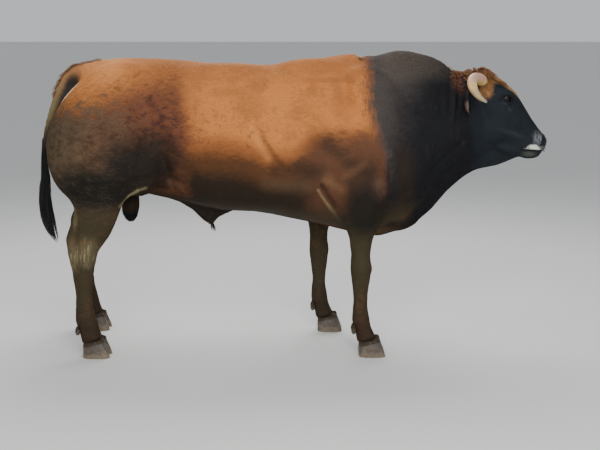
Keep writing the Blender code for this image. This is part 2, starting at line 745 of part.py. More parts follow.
def mouth_blade(head, steps=7):
    """A thin wedge that runs round the muzzle from one corner of the mouth to the other."""
    rings = []
    for i in range(-steps, steps + 1):
        reach = abs(i) / steps
        corner = ramp(reach, 0.6, 1)
        heading = math.radians(90 * ramp(reach, 0, 0.6))
        way = Vector((math.cos(heading), math.copysign(math.sin(heading), i), 0))
        back, height = MOUTH_REACH * ramp(reach, 0.3, 1), MOUTH_HEIGHT + MOUTH_RISE * corner
        hit = surface(head, Vector((MOUTH_FRONT - back, 0, height)) + way * 0.2, -way)
        inner, outer = hit - way * MOUTH_DEPTH * (1 - 0.6 * corner), hit + way * 0.02
        half = Vector((0, 0, MOUTH_HALF))
        rings.append([inner + half * 0.12, inner - half * 0.12, outer - half, outer + half])
    return ring_loft("mouth", rings)


def ring(name, extra=0):
    """The ring through the nose, or with extra the space that it passes through."""
    bm = bmesh.new()
    count, sides = 24, 6
    rows = []
    for i in range(count):
        turn = 2 * math.pi * i / count
        way = Vector((0, math.sin(turn), -math.cos(turn)))
        centre = way * RING_RADIUS
        row = []
        for k in range(sides):
            roll = 2 * math.pi * k / sides
            wire = RING_WIRE + extra
            row.append(bm.verts.new(
                centre + wire * (way * math.cos(roll) + Vector((math.sin(roll), 0, 0)))
            ))
        rows.append(row)
    for i in range(count):
        for k in range(sides):
            a, b = rows[i], rows[(i + 1) % count]
            bm.faces.new((a[k], a[(k + 1) % sides], b[(k + 1) % sides], b[k]))
    bm.transform(
        Matrix.Translation(RING_CENTRE) @ Matrix.Rotation(math.radians(RING_LEAN), 4, "Y")
    )
    return from_bmesh(name, bm)


def ear(name, side, steps=9):
    """A cupped leaf that opens forwards, from its root in the head to its tip."""
    root, tip = Vector(EAR_ROOT), Vector(EAR_TIP)
    root.y *= side
    tip.y *= side
    along = (tip - root).normalized()
    opening = Vector(EAR_OPENING)
    opening = (opening - along * opening.dot(along)).normalized()
    across = along.cross(opening)
    rings = []
    for i in range(steps + 1):
        t = i / steps
        leaf = 0.36 + 0.64 * math.sin(math.pi * min(t * 0.80 + 0.10, 1))
        half = EAR_HALF_WIDTH * leaf * (1 - ramp(t, 0.60, 1.02)) + 0.004
        cup = EAR_CUP * (1 - 0.55 * t) * (half / EAR_HALF_WIDTH)
        skin = EAR_SKIN * (1 - 0.5 * t) * min(1, half / 0.02)
        base = root.lerp(tip, t) - Vector((0, 0, EAR_DROOP * t * t))
        outside = [(u, -cup * (1 - u * u)) for u in (-1, -0.66, -0.33, 0, 0.33, 0.66, 1)]
        inside = [(0.94 * u, -cup * (1 - u * u) + skin * (1.55 - u * u))
                  for u in (0.80, 0.40, 0, -0.40, -0.80)]
        rings.append([base + across * half * u + opening * lift for u, lift in outside + inside])
    return ring_loft(name, rings)


def claw(name, kind, side, x, y, part):
    """One hoof claw. Part is 1 for the outer claw and -1 for the inner one."""
    middle = foot_middle(kind, side, x)
    turn_out = side * part
    rings = []
    for t, heel, toe, width in CLAW_LEVELS:
        length, centre = (toe - heel) / 2, (toe + heel) / 2
        points = []
        for i in range(12):
            turn = 2 * math.pi * i / 12
            along = centre + length * power(math.cos(turn), 0.85)
            out = CLEFT + width * (0.5 + 0.5 * power(math.sin(turn), 0.75))
            out += 0.010 * ramp(along, 0.02, 0.10) * (1 if out < width / 2 else 0)
            top = CORONET_HEIGHT + CORONET_SLOPE * along - GAP
            points.append(Vector((middle + along, side * y + turn_out * out, top * (1 - t))))
        rings.append(points)
    return ring_loft(name, rings)


def dewclaw(name, kind, side, y, part, flesh):
    """The small horny claw behind the fetlock, on the outer or inner side."""
    heel = DEWCLAW_HEEL[kind] + LEG_SHIFT[kind, side]
    centre = (heel, side * (y + part * DEWCLAW_OUT), DEWCLAW_HEIGHT)
    return seated(swelling(name, Muscle(centre, DEWCLAW_RADII, DEWCLAW_LEAN), around=8), flesh)


def finish(obj, slot):
    """Gives the object its material and smooth shading with sharp creases."""
    material = bpy.data.materials.get(slot)
    if material is None:
        colour, roughness, metallic = FINISHES[slot]
        material = bpy.data.materials.new(slot)
        material.use_nodes = True
        shader = material.node_tree.nodes["Principled BSDF"]
        shader.inputs["Base Color"].default_value = colour
        shader.inputs["Roughness"].default_value = roughness
        shader.inputs["Metallic"].default_value = metallic
    obj.data.materials.clear()
    obj.data.materials.append(material)
    obj.data.shade_smooth()
    obj.data.set_sharp_from_angle(angle=math.radians(40))


def along_beads(beads, t):
    """The point and radius at a share t of the way through the beads."""
    place = min(max(t, 0), 0.9999) * (len(beads) - 1)
    i = int(place)
    a, b = beads[i], beads[i + 1]
    share = place - i
    return Vector(a.point).lerp(Vector(b.point), share), a.radius + (b.radius - a.radius) * share


def tail_switch(flesh):
    """The brush at the tail's end: long locks in layers round the dock, closing to a bent tip."""
    rng = random.Random(HAIR_SEED)
    core = tube("tail_switch", [Bead(b.point, b.radius * 0.5 + 0.002) for b in SWITCH[:-1]], 1, 6)
    locks = []
    for i in range(SWITCH_HAIR.locks):
        turn = GOLDEN_TURN * i
        start = 0.02 + SWITCH_RUN * i / SWITCH_HAIR.locks
        end = min(start + SWITCH_RUN + rng.uniform(-0.12, 0.14), 1.0)
        way = Vector((math.cos(turn), math.sin(turn), 0))
        sway = rng.uniform(-0.5, 0.5)
        points = []
        for k in range(4):
            t = k / 3
            middle, radius = along_beads(SWITCH, start + (end - start) * t)
            drift = Matrix.Rotation(sway * t, 3, "Z") @ way
            points.append(middle + drift * radius * SWITCH_OUT[k] * rng.uniform(0.9, 1.05))
        width = SWITCH_HAIR.width * rng.uniform(0.85, 1.15)
        locks.append(lock(points, width, SWITCH_HAIR.thickness, way))
    return seated(fused(core, locks), flesh, solver="MANIFOLD")


def poll_tuft(flesh, horns):
    """The mop on the poll: locks that rise from a whorl, fall outwards and lie on the forehead."""
    rng = random.Random(HAIR_SEED)
    core = swelling("poll_tuft", POLL_CORE, around=8)
    locks = []
    for i in range(POLL_HAIR.locks):
        ring_share = math.sqrt((i + 0.5) / POLL_HAIR.locks)
        turn = GOLDEN_TURN * i
        way = Vector((math.cos(turn) * 0.9 + 0.45, math.sin(turn), 0)).normalized()
        x = POLL_WHORL[0] + POLL_REACH[0] * ring_share * 0.8 * way.x
        y = POLL_REACH[1] * ring_share * 0.72 * math.sin(turn)
        length = POLL_HAIR.length * rng.uniform(0.8, 1.15) * (0.75 + 0.3 * way.x)
        rise = 0.037 - 0.018 * ring_share + rng.uniform(-0.003, 0.004)
        swing = Matrix.Rotation(rng.uniform(-0.5, 0.5), 3, "Z")
        points = []
        for k in range(4):
            t = k / 3
            spot = Vector((x, y, 0)) + way * length * t * 0.9
            if k > 1:
                spot += (swing @ way - way) * length * (t - 0.3) * 0.6
            top = surface(flesh, (spot.x, spot.y, 1.7), (0, 0, -1))
            lift = (-0.006, rise, rise * 0.85, 0.005)[k]
            points.append(Vector((spot.x, spot.y, top.z + lift)))
        width = POLL_HAIR.width * rng.uniform(0.85, 1.2)
        locks.append(lock(points, width, POLL_HAIR.thickness, Vector((0, 0, 1))))
    return seated(fused(core, locks), flesh, *horns, solver="MANIFOLD")


def sheath_tuft(flesh):
    """The pencil of long hair that hangs from the tip of the sheath."""
    rng = random.Random(HAIR_SEED)
    tip = Vector(SHEATH_TIP)
    core = tube("sheath_tuft", (
        Bead(tip + Vector((0, 0, 0.004)), 0.009), Bead(tip + Vector((0.004, 0, -0.026)), 0.005),
    ), 1, 6)
    locks = []
    for i in range(SHEATH_HAIR.locks):
        turn = 2 * math.pi * i / SHEATH_HAIR.locks
        way = Vector((math.cos(turn), math.sin(turn), 0))
        length = SHEATH_HAIR.length * rng.uniform(0.75, 1.1)
        points = []
        for k in range(4):
            t = k / 3
            fan = way * (0.004 + 0.009 * math.sin(2.2 * t)) + Vector((0.016 * t * t, 0, 0))
            points.append(tip + fan - Vector((0, 0, length * t - 0.004)))
        locks.append(lock(points, SHEATH_HAIR.width, SHEATH_HAIR.thickness, way))
    return seated(fused(core, locks), flesh, solver="MANIFOLD")


def make_head_parts(head, flesh):
    """The eyes, horns, ears, ring and poll tuft, with the hollows they need in the head."""
    nodes = []
    horns = []
    for word, side in SIDES:
        horns.append(seated(tube(f"horn_{word}", HORN, steps=2, around=12, side=side), flesh))
        leaf = ear(f"ear_{word}", side)
        nodes.append((seated(leaf, flesh, solver="MANIFOLD"), "dark_coat"))
    nodes += [(horn, "horn") for horn in horns]
    nodes.append((poll_tuft(flesh, horns), "red_hair"))
    cutters = [mouth_blade(head)]
    for word, side in SIDES:
        cutters += [eyeball("socket", side, GAP), lid_opening(side)]
        cutters += [nostril(head, side), nasal_passage(head, side)]
    cutters.append(ring("passage", GAP))
    for cutter in cutters:
        cut(head, cutter)
    tidy(head)
    for word, side in SIDES:
        nodes.append((eyeball(f"eye_{word}", side), "eye"))
    nodes.append((ring("nose_ring"), "steel"))
    return nodes


def build():
    """The whole model."""
    for obj in list(bpy.data.objects):
        bpy.data.objects.remove(obj)
    flesh = make_flesh()
    parts = part_flesh(new_object("parted", flesh.data.copy()))
    nodes = make_head_parts(parts["head"], flesh)
    nodes.append((tail_switch(flesh), "black_hair"))
    nodes.append((sheath_tuft(flesh), "black_hair"))
    for kind, word, side, x, y in FEET:
        for spot, part in (("outer", 1), ("inner", -1)):
            name = f"{kind}_{word}_{spot}"
            nodes.append((claw(f"claw_{name}", kind, side, x, y, part), "hoof"))
            nodes.append((dewclaw(f"dewclaw_{name}", kind, side, y, part, flesh), "hoof"))
    bpy.data.objects.remove(flesh)
    nodes += [(part, "dark_coat" if name in ("head", "neck") else "coat")
              for name, part in parts.items()]
    for node, slot in nodes:
        finish(node, slot)


build()
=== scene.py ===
"""A life-size Parthenaise bull: one skin with its short coat and long hair, horns, eyes and hooves.

The bull stands on z = 0 and faces +X, with its right side towards -Y. Every size is in metres.
The file is laid out as an add-on: each group of pieces has its own operator and its own sizes and
colours, and main() calls the operators in order.
"""
import math

import bmesh
import bpy
import numpy as np
from mathutils import Matrix, Vector
from mathutils.bvhtree import BVHTree


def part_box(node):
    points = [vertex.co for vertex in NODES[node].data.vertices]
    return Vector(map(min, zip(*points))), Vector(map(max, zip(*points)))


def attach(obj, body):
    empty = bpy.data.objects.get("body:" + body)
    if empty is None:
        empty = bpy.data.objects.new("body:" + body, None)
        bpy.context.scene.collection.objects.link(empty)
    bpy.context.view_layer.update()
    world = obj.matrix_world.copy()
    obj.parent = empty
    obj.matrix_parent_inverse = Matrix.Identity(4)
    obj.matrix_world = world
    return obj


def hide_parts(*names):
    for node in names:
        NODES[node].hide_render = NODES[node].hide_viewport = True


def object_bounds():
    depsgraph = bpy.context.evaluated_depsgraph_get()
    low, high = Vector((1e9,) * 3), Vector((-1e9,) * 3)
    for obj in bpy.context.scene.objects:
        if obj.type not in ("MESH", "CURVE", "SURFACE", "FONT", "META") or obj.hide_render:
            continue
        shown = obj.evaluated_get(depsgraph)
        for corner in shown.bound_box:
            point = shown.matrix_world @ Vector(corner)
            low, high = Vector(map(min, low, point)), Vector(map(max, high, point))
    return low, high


bl_info = {
    "name": "Parthenaise bull",
    "version": (1, 0, 0),
    "blender": (4, 5, 0),
    "location": "View3D > Sidebar > Bull",
    "description": "Builds the skin, coat, hair, horns, eyes and hooves of a standing bull",
    "category": "Add Mesh",
}

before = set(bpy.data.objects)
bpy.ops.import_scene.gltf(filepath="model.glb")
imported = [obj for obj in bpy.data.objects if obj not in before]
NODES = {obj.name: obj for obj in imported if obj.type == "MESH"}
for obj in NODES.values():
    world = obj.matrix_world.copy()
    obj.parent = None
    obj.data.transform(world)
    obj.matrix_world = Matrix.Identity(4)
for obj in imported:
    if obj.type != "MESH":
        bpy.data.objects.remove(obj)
CAD_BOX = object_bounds()
SIDES = (("right", -1), ("left", 1))
MIRROR = Vector((1, -1, 1))

# What the skin stands for, and the part of it that the finer grid of the face covers.
BODY_NODES = ("head", "neck", "torso", "tail", "leg_front_right", "leg_front_left",
              "leg_hind_right", "leg_hind_left")
EAR_NODES = ("ear_right", "ear_left")
# The x at which the two grids meet, and half the strip that joins them.
SEAM_X, SEAM_HALF = 0.800, 0.003
NECK_STUB_X = 0.755


def paint(red, green, blue):
    """A colour as the eye sees it, from 0 to 255, turned into light values."""
    return tuple(
        c / 12.92 if c <= 0.04045 else ((c + 0.055) / 1.055) ** 2.4
        for c in (red / 255, green / 255, blue / 255)
    )


def length(name, default, description):
    """A size in metres that the sidebar shows."""
    return bpy.props.FloatProperty(
        name=name, description=description, default=default, min=0, unit="LENGTH", precision=4,
    )


def number(name, default, description):
    """A plain number that the sidebar shows."""
    return bpy.props.FloatProperty(name=name, description=description, default=default, min=0)


def count(name, default, description):
    """A whole number that the sidebar shows."""
    return bpy.props.IntProperty(name=name, description=description, default=default, min=1)


def colour(name, seen, description):
    """A colour that the sidebar shows, from the colour that the eye sees."""
    return bpy.props.FloatVectorProperty(
        name=name, description=description, default=paint(*seen), size=3, subtype="COLOR",
        min=0, max=1,
    )


class SkinSettings(bpy.types.PropertyGroup):
    """Sizes of the skin."""

    body_grid: length("Body grid", 0.0100, "Grid on which the body's skin is fused")
    face_grid: length("Face grid", 0.0040, "Grid on which the face's skin is fused")
    coat_depth: length("Coat depth", 0.0035, "How far the skin lies inside the body's outline")
    face_depth: length("Face coat depth", 0.0012, "How far the skin lies inside the face's outline")
    triangles: count("Triangles", 194000, "Most triangles that the skin may have")


class CoatSettings(bpy.types.PropertyGroup):
    """Sizes and colours of the short coat."""

    tufts: number("Tufts", 34000, "Tufts to each square metre of the body")
    tuft_length: length("Tuft length", 0.0140, "Length of a tuft on the body")
    tuft_width: length("Tuft width", 0.0030, "Width of a tuft on the body")
    fawn: colour("Fawn", (182, 114, 58), "Colour of the flanks and back")
    deep_fawn: colour("Deep fawn", (158, 98, 52), "Fawn where the coat is thicker")
    mottle: colour("Mottle", (122, 72, 38), "Darker flecks on the flank")
    red_brown: colour("Red-brown", (104, 62, 38), "Colour between the flank and the thigh")
    thigh: colour("Thigh", (76, 61, 46), "Dusty grey-brown of the thigh")
    thigh_dark: colour("Dark thigh", (22, 20, 16), "Darkest part of the thigh")
    # Belly and dark belly also serve as painted shade in the rib crease, under the body and under the
    # flank's fold.
    belly: colour("Belly", (80, 50, 28), "Brown of the lower ribs")
    belly_dark: colour("Dark belly", (42, 32, 23), "Near black of the belly")
    neck: colour("Neck", (62, 56, 53), "Grey-brown of the crest")
    neck_dark: colour("Dark neck", (11, 13, 18), "Blue-black of the neck")
    face: colour("Face", (25, 30, 35), "Slate black of the face")
    blaze: colour("Blaze", (170, 132, 78), "Tan hair along the forehead and nose")
    forehead: colour("Forehead", (110, 76, 46), "Brown hair round the horns")
    lip: colour("Lips", (224, 227, 216), "White of the lips")
    chin: colour("Chin", (64, 68, 62), "Grey of the lower lip")
    leg: colour("Legs", (55, 48, 32), "Grey-brown of the lower legs")
    # Pale hair also serves as the painted highlight along the edges of the elbow's and the flank's
    # folds.
    pale: colour("Pale hair", (146, 134, 100), "Pale hair along the folds and hocks")


class HairSettings(bpy.types.PropertyGroup):
    """Sizes and colours of the long hair."""

    poll_locks: count("Poll locks", 170, "Locks in the mop between the horns")
    poll_length: length("Poll length", 0.064, "Length of the poll's hair")
    switch_locks: count("Switch locks", 130, "Locks in the tail's brush")
    strand: length("Strand", 0.0012, "Width of one strand of long hair")
    poll: colour("Poll", (96, 58, 36), "Red-brown of the poll")
    poll_tip: colour("Poll tips", (146, 98, 56), "Tan of the poll's tips and the forelock")
    black: colour("Black hair", (30, 30, 27), "Colour of the tail's brush and lashes")


class HornSettings(bpy.types.PropertyGroup):
    """Colours of horns, hooves, eyes and ring."""

    cream: colour("Cream", (206, 170, 112), "Body of the horn")
    bloom: colour("Bloom", (182, 142, 116), "Pinkish weathered top of the horn")
    tip: colour("Tip", (128, 124, 112), "Grey tip of the horn")
    hoof: colour("Hoof", (62, 54, 46), "Hoof wall")
    iris: colour("Iris", (30, 19, 14), "Iris of the eye")
    steel: colour("Steel", (205, 206, 204), "Nose ring")


class StageSettings(bpy.types.PropertyGroup):
    """The floor, lights and camera."""

    floor: colour("Floor", (206, 206, 203), "Colour of the floor")
    key: number("Side light", 250, "Power of the large soft light beside the camera, in watts")
    rim: number("Back light", 150, "Power of the soft light above and behind the back, in watts")
    camera_distance: length("Camera distance", 5.0, "From the bull's middle plane to the camera")
    camera_height: length("Camera height", 1.55, "Height of the camera")
    camera_x: bpy.props.FloatProperty(
        name="Camera place", description="Place of the camera along the bull", default=0.047,
        unit="LENGTH",
    )
    camera_dip: bpy.props.FloatProperty(
        name="Camera dip", description="How far the camera looks down",
        default=math.radians(10.6), subtype="ANGLE",
    )
    lens: number("Lens", 60, "Focal length for a 36 mm wide picture, in millimetres")


GROUPS = (
    ("bull_skin", SkinSettings),
    ("bull_coat", CoatSettings),
    ("bull_hair", HairSettings),
    ("bull_horn", HornSettings),
    ("bull_stage", StageSettings),
)


# Shader maths

class Field:
    """A value over a surface. Its operators add the Math nodes for the sum."""

    def __init__(self, finish, socket):
        self.finish = finish
        self.socket = socket

    def _math(self, operation, *values):
        return self.finish.node("ShaderNodeMath", {"operation": operation}, dict(enumerate(values)))

    def __add__(self, other):
        return self._math("ADD", self, other)

    def __radd__(self, other):
        return self._math("ADD", other, self)

    def __sub__(self, other):
        return self._math("SUBTRACT", self, other)

    def __rsub__(self, other):
        return self._math("SUBTRACT", other, self)

    def __mul__(self, other):
        return self._math("MULTIPLY", self, other)

    def __rmul__(self, other):
        return self._math("MULTIPLY", other, self)

    def __truediv__(self, other):
        return self._math("DIVIDE", self, other)

    def __pow__(self, other):
        return self._math("POWER", self, other)

    def __abs__(self):
        return self._math("ABSOLUTE", self)

    def over(self, other):
        """The larger of two values."""
        return self._math("MAXIMUM", self, other)

    def under(self, other):
        """The smaller of two values."""
        return self._math("MINIMUM", self, other)


class Finish:
    """A material being made, with its Principled shader and the tools that fill it."""

    def __init__(self, name, **constants):
        self.material = bpy.data.materials.new(name)
        self.material.use_nodes = True
        self.tree = self.material.node_tree
        self.shader = self.tree.nodes["Principled BSDF"]
        for socket, value in constants.items():
            self.shader.inputs[socket.replace("_", " ")].default_value = value
        self.place = self.node("ShaderNodeTexCoord", output="Object")
        split = self.tree.nodes.new("ShaderNodeSeparateXYZ")
        self.tree.links.new(self.place.socket, split.inputs[0])
        self.x, self.y, self.z = (Field(self, socket) for socket in split.outputs)

    def node(self, kind, settings=None, values=None, output=0):
        """A new node with its settings and its sockets filled, as one of its outputs."""
        made = self.tree.nodes.new(kind)
        for name, value in (settings or {}).items():
            setattr(made, name, value)
        for name, value in (values or {}).items():
            if isinstance(value, Field):
                self.tree.links.new(value.socket, made.inputs[name])
            else:
                made.inputs[name].default_value = value
        return Field(self, made.outputs[output])

    def stored(self, name):
        """A number that the points of the mesh hold under a name."""
        return self.node("ShaderNodeAttribute", {"attribute_name": name}, output="Fac")

    def rise(self, value, start, end):
        """Goes smoothly from 0 where value is start to 1 where it is end."""
        if start > end:
            return 1 - self.rise(value, end, start)
        return self.node(
            "ShaderNodeMapRange", {"interpolation_type": "SMOOTHSTEP"},
            {"Value": value, "From Min": start, "From Max": end},
        )

    def near(self, line, reach, loose=0.0):
        """1 on a line through points of the side view, fading to 0 at its reach."""
        away = None
        for (ax, az), (bx, bz) in zip(line, line[1:]):
            run_x, run_z = bx - ax, bz - az
            right, up = self.x - ax, self.z - az
            share = (right * run_x + up * run_z) * (1 / (run_x**2 + run_z**2))
            share = self.node("ShaderNodeClamp", {}, {"Value": share})
            gap = ((right - share * run_x) ** 2 + (up - share * run_z) ** 2) ** 0.5
            away = gap if away is None else away.under(gap)
        return self.rise(away + loose, reach, 0)

    def noise(self, scale, detail=2.0, stretch=None, turn=0.0):
        """Noise from 0 to 1 in the bull's own space, stretched and turned about y if asked."""
        place = self.place
        if stretch:
            place = self.node("ShaderNodeMapping", {}, {
                "Vector": place, "Rotation": (0, turn, 0), "Scale": stretch,
            })
        return self.node("ShaderNodeTexNoise", {}, {
            "Vector": place, "Scale": scale, "Detail": detail, "Roughness": 0.6,
        })

    def mix(self, a, b, share):
        """Colour a turning into colour b."""
        values = {0: share}
        for socket, value in ((6, a), (7, b)):
            values[socket] = value if isinstance(value, Field) else (*value, 1)
        return self.node("ShaderNodeMix", {"data_type": "RGBA"}, values, output=2)

    def shaded(self, tint, amount):
        """A colour made darker or lighter by a factor."""
        grey = self.node("ShaderNodeCombineColor", {}, {0: amount, 1: amount, 2: amount})
        values = {0: 1.0, 6: tint, 7: grey}
        return self.node(
            "ShaderNodeMix", {"data_type": "RGBA", "blend_type": "MULTIPLY"}, values, output=2,
        )

    def finished(self, tint, roughness=None, height=None, depth=0.001, normal_share=1.0):
        """Links colour, roughness and bump, and returns the material."""
        links = {"Base Color": tint, "Roughness": roughness}
        if height is not None:
            links["Normal"] = self.node("ShaderNodeBump", {}, {
                "Height": height, "Distance": depth, "Strength": normal_share,
            })
        for socket, value in links.items():
            if isinstance(value, Field):
                self.tree.links.new(value.socket, self.shader.inputs[socket])
            elif value is not None:
                self.shader.inputs[socket].default_value = value
        return self.material


def coat_colour(f):
    """The bull's markings, with painted shade and highlights on its folds and underside, from the dusty
    thigh to the slate face, the same on both sides.
    """
    c = bpy.context.scene.bull_coat
    x, z, side = f.x, f.z, abs(f.y)
    broad = f.noise(4.0, 3) - 0.5
    cloud = f.noise(12.0, 4) - 0.5
    curls = f.noise(1.0, 4, stretch=(30, 70, 70), turn=0.35) - 0.5
    wobble = broad * 0.45 + cloud * 0.45 + curls * 0.45

    def patch(centre_x, centre_z, reach_x, reach_z, soft=0.35, loose=1.0, turn=0.0):
        """1 inside an ellipse of the side view and 0 outside it, with a ragged edge.

        The turn in degrees raises the end of the ellipse that lies towards the head.
        """
        c, s = math.cos(math.radians(turn)), math.sin(math.radians(turn))
        right, up = x - centre_x, z - centre_z
        away_x, away_z = (right * c + up * s) / reach_x, (up * c - right * s) / reach_z
        away = (away_x * away_x + away_z * away_z) ** 0.5 + wobble * loose
        return f.rise(away, 1 + soft, 1 - soft)

    tint = f.mix(c.fawn, c.deep_fawn, f.rise(broad + cloud * 0.8 + curls * 0.5, -0.10, 0.20))
    back = f.rise(z + wobble * 0.06, 1.30, 1.42)
    tint = f.mix(tint, c.deep_fawn, back * f.rise(x, -0.90, -0.66) * 0.6)
    tint = f.mix(tint, paint(208, 146, 92), back * f.rise(x, -0.74, -0.86) * 0.5)
    tint = f.mix(tint, c.mottle, patch(-0.585, 1.385, 0.090, 0.070, 0.8, 1.0) * 0.3)
    for place in ((0.17, 1.352, 0.105, 0.012, 0), (-0.28, 1.300, 0.10, 0.018, 4),
                  (-0.19, 1.235, 0.06, 0.050, 0), (0.24, 1.240, 0.05, 0.060, 20)):
        tint = f.mix(tint, c.mottle, patch(*place[:4], 0.7, 1.0, place[4]) * 0.35)
    # The flank: flecks, then brown down to a near-black belly, partly the coat's colour and partly
    # painted shade under the body; it begins higher on the shoulder.
    flecks = f.rise(f.noise(48.0, 4), 0.56, 0.66) * patch(-0.33, 1.09, 0.28, 0.15, 0.6)
    tint = f.mix(tint, c.mottle, flecks * 0.8)
    low = z + wobble * 0.13 - f.rise(x, -0.02, 0.13) * 0.075 - f.rise(x, -0.06, -0.36) * 0.058
    tint = f.mix(tint, c.mottle, f.rise(low, 1.075, 0.985) * 0.85)
    tint = f.mix(tint, c.belly, f.rise(low, 1.000, 0.925))
    tint = f.mix(tint, c.belly_dark, f.rise(low, 0.915, 0.815))
    # A lighter band along the lower chest, painted shade in the rib crease and a painted highlight on
    # its lit edge.
    band = f.near([(-0.10, 0.872), (0.085, 0.862)], 0.070, wobble * 0.09)
    tint = f.mix(tint, paint(84, 64, 46), band * 0.55)
    rib = [(-0.152, 1.139), (-0.129, 1.094), (-0.101, 1.048), (-0.078, 1.006), (-0.046, 0.968)]
    tint = f.mix(tint, c.belly, f.near(rib, 0.026, wobble * 0.03) * f.rise(z, 1.145, 1.040) * 0.50)
    lit = f.near([(x - 0.026, z - 0.010) for x, z in rib[:4]], 0.034, wobble * 0.03)
    tint = f.mix(tint, paint(206, 140, 82), lit * 0.20)
    # The shoulder: reddish dark brown below its middle, partly the coat's colour and partly painted
    # shade, with painted shadows under its muscles, a lighter arm and the tan over the elbow.
    lower = f.rise(z + wobble * 0.20, 1.165, 1.040) * f.rise(x + wobble * 0.15, 0.02, 0.17)
    tint = f.mix(tint, paint(86, 56, 38), lower * 0.92)
    tint = f.mix(tint, c.belly_dark, patch(0.335, 0.870, 0.075, 0.110, 0.6, 1.2, -12) * 0.70)
    # Painted shadows under the shoulder's muscles.
    shade = f.near([(0.165, 1.068), (0.206, 1.035), (0.240, 1.012)], 0.065, wobble * 0.08)
    shade = shade.over(f.near([(-0.06, 0.952), (0.040, 0.948), (0.130, 0.936)], 0.070, wobble * 0.08))
    shade = shade.over(f.near([(0.262, 0.980), (0.310, 0.962), (0.375, 0.930)], 0.055, wobble * 0.07))
    tint = f.mix(tint, paint(46, 32, 20), shade * 0.62)
    # Lighter browns: the tan over the elbow, and painted highlights along the lit rear and front edges
    # of the upper arm.
    for line, reach, loose, brown, share in (
        ([(0.188, 0.885), (0.236, 0.848)], 0.055, 0.07, (112, 80, 56), 0.70),
        ([(0.345, 0.966), (0.250, 0.905)], 0.034, 0.05, (104, 70, 48), 0.45),
        ([(0.422, 0.866), (0.430, 0.800)], 0.044, 0.05, (96, 72, 54), 0.80),
    ):
        tint = f.mix(tint, paint(*brown), f.near(line, reach, wobble * loose) * share)
    # A painted highlight along the elbow's fold, in the pale hair's colour, and painted shade in the
    # groove in front of it.
    elbow = [(0.132, 0.843), (0.152, 0.807), (0.191, 0.746), (0.253, 0.663)]
    elbow_highlight = f.near(elbow, 0.015, wobble * 0.026)
    tint = f.mix(tint, c.pale, elbow_highlight * f.rise(side, 0.14, 0.20) * 0.45)
    under = f.near([(0.150, 0.868), (0.176, 0.816), (0.215, 0.750)], 0.020, wobble * 0.02)
    tint = f.mix(tint, paint(30, 22, 15), under * 0.6)
    # The thigh: red-brown in front and grey-brown behind, both mottled, round a dark core.
    blots = f.noise(1.0, 4, stretch=(20, 38, 38), turn=0.7) - 0.5
    fine = f.noise(1.0, 5, stretch=(60, 130, 130), turn=0.6) - 0.5
    rear = f.rise(x + wobble * 0.12 + blots * 0.10, -0.455, -0.545)
    top = f.rise(z + wobble * 0.20 + blots * 0.32 - x * 0.25, 1.565, 1.415)
    tint = f.mix(tint, c.red_brown, rear * top * 0.90)
    wine = patch(-0.650, 1.150, 0.170, 0.170, 0.7, 1.6)
    tint = f.mix(tint, paint(86, 50, 40), wine * (0.55 + f.rise(blots, -0.05, 0.12) * 0.35))
    below = f.rise(z + wobble * 0.20 + blots * 0.30 + x * 0.12, 1.205, 1.010)
    tint = f.mix(tint, c.thigh, f.rise(x + blots * 0.4, -0.64, -0.86) * below)
    tint = f.mix(tint, c.red_brown, patch(-0.84, 1.04, 0.13, 0.10, 0.8) * 0.4)
    core = patch(-0.70, 0.95, 0.18, 0.15, 0.6).over(patch(-0.88, 0.84, 0.25, 0.10, 0.6))
    tint = f.mix(tint, c.thigh_dark, core * 0.94)
    speck = rear * f.rise(z + wobble * 0.3 - x * 0.2, 1.60, 1.44)
    tint = f.mix(tint, c.thigh_dark, speck * f.rise(blots + fine * 0.7, -0.06, 0.22) * 0.50)
    light = speck * f.rise(fine - blots * 0.7, -0.04, 0.26)
    tint = f.mix(tint, f.mix(c.mottle, c.pale, f.rise(x, -0.66, -0.86)), light * 0.11)
    tint = f.mix(tint, c.thigh_dark, core * 0.45)
    # The fold of the flank: a painted highlight along its edge and painted shade under it.
    arc = patch(-0.655, 0.700, 0.170, 0.157, 0.0, 0.0)
    inner = arc.over(f.rise(side, 0.20, 0.16) * f.rise(x, -0.90, -0.84) * f.rise(x, -0.42, -0.50))
    inner = inner * f.rise(z, 0.66, 0.70) * f.rise(z, 0.90, 0.87)
    tint = f.mix(tint, f.mix(c.belly, c.belly_dark, f.rise(z + wobble * 0.1, 0.84, 0.78)), inner * 0.85)
    fold_highlight = f.near([(-0.815, 0.752), (-0.767, 0.808), (-0.723, 0.836)], 0.013, wobble * 0.010)
    fold_highlight = fold_highlight.over(f.near([(-0.723, 0.836), (-0.685, 0.848)], 0.011, wobble * 0.02) * 0.55)
    tint = f.mix(tint, c.pale, fold_highlight * f.rise(side, 0.15, 0.20) * 0.66)
    pink = f.near([(-0.575, 0.868), (-0.525, 0.842)], 0.030, wobble * 0.04)
    tint = f.mix(tint, paint(112, 80, 62), pink * f.rise(side, 0.15, 0.20) * 0.45)
    # A painted cream highlight along the edge of the buttock beside the tail.
    edge = f.near([(-1.014, 1.341), (-1.050, 1.297), (-1.089, 1.253)], 0.010, wobble * 0.006)
    tint = f.mix(tint, paint(214, 196, 166), edge * f.rise(side, 0.172, 0.186) * 0.85)
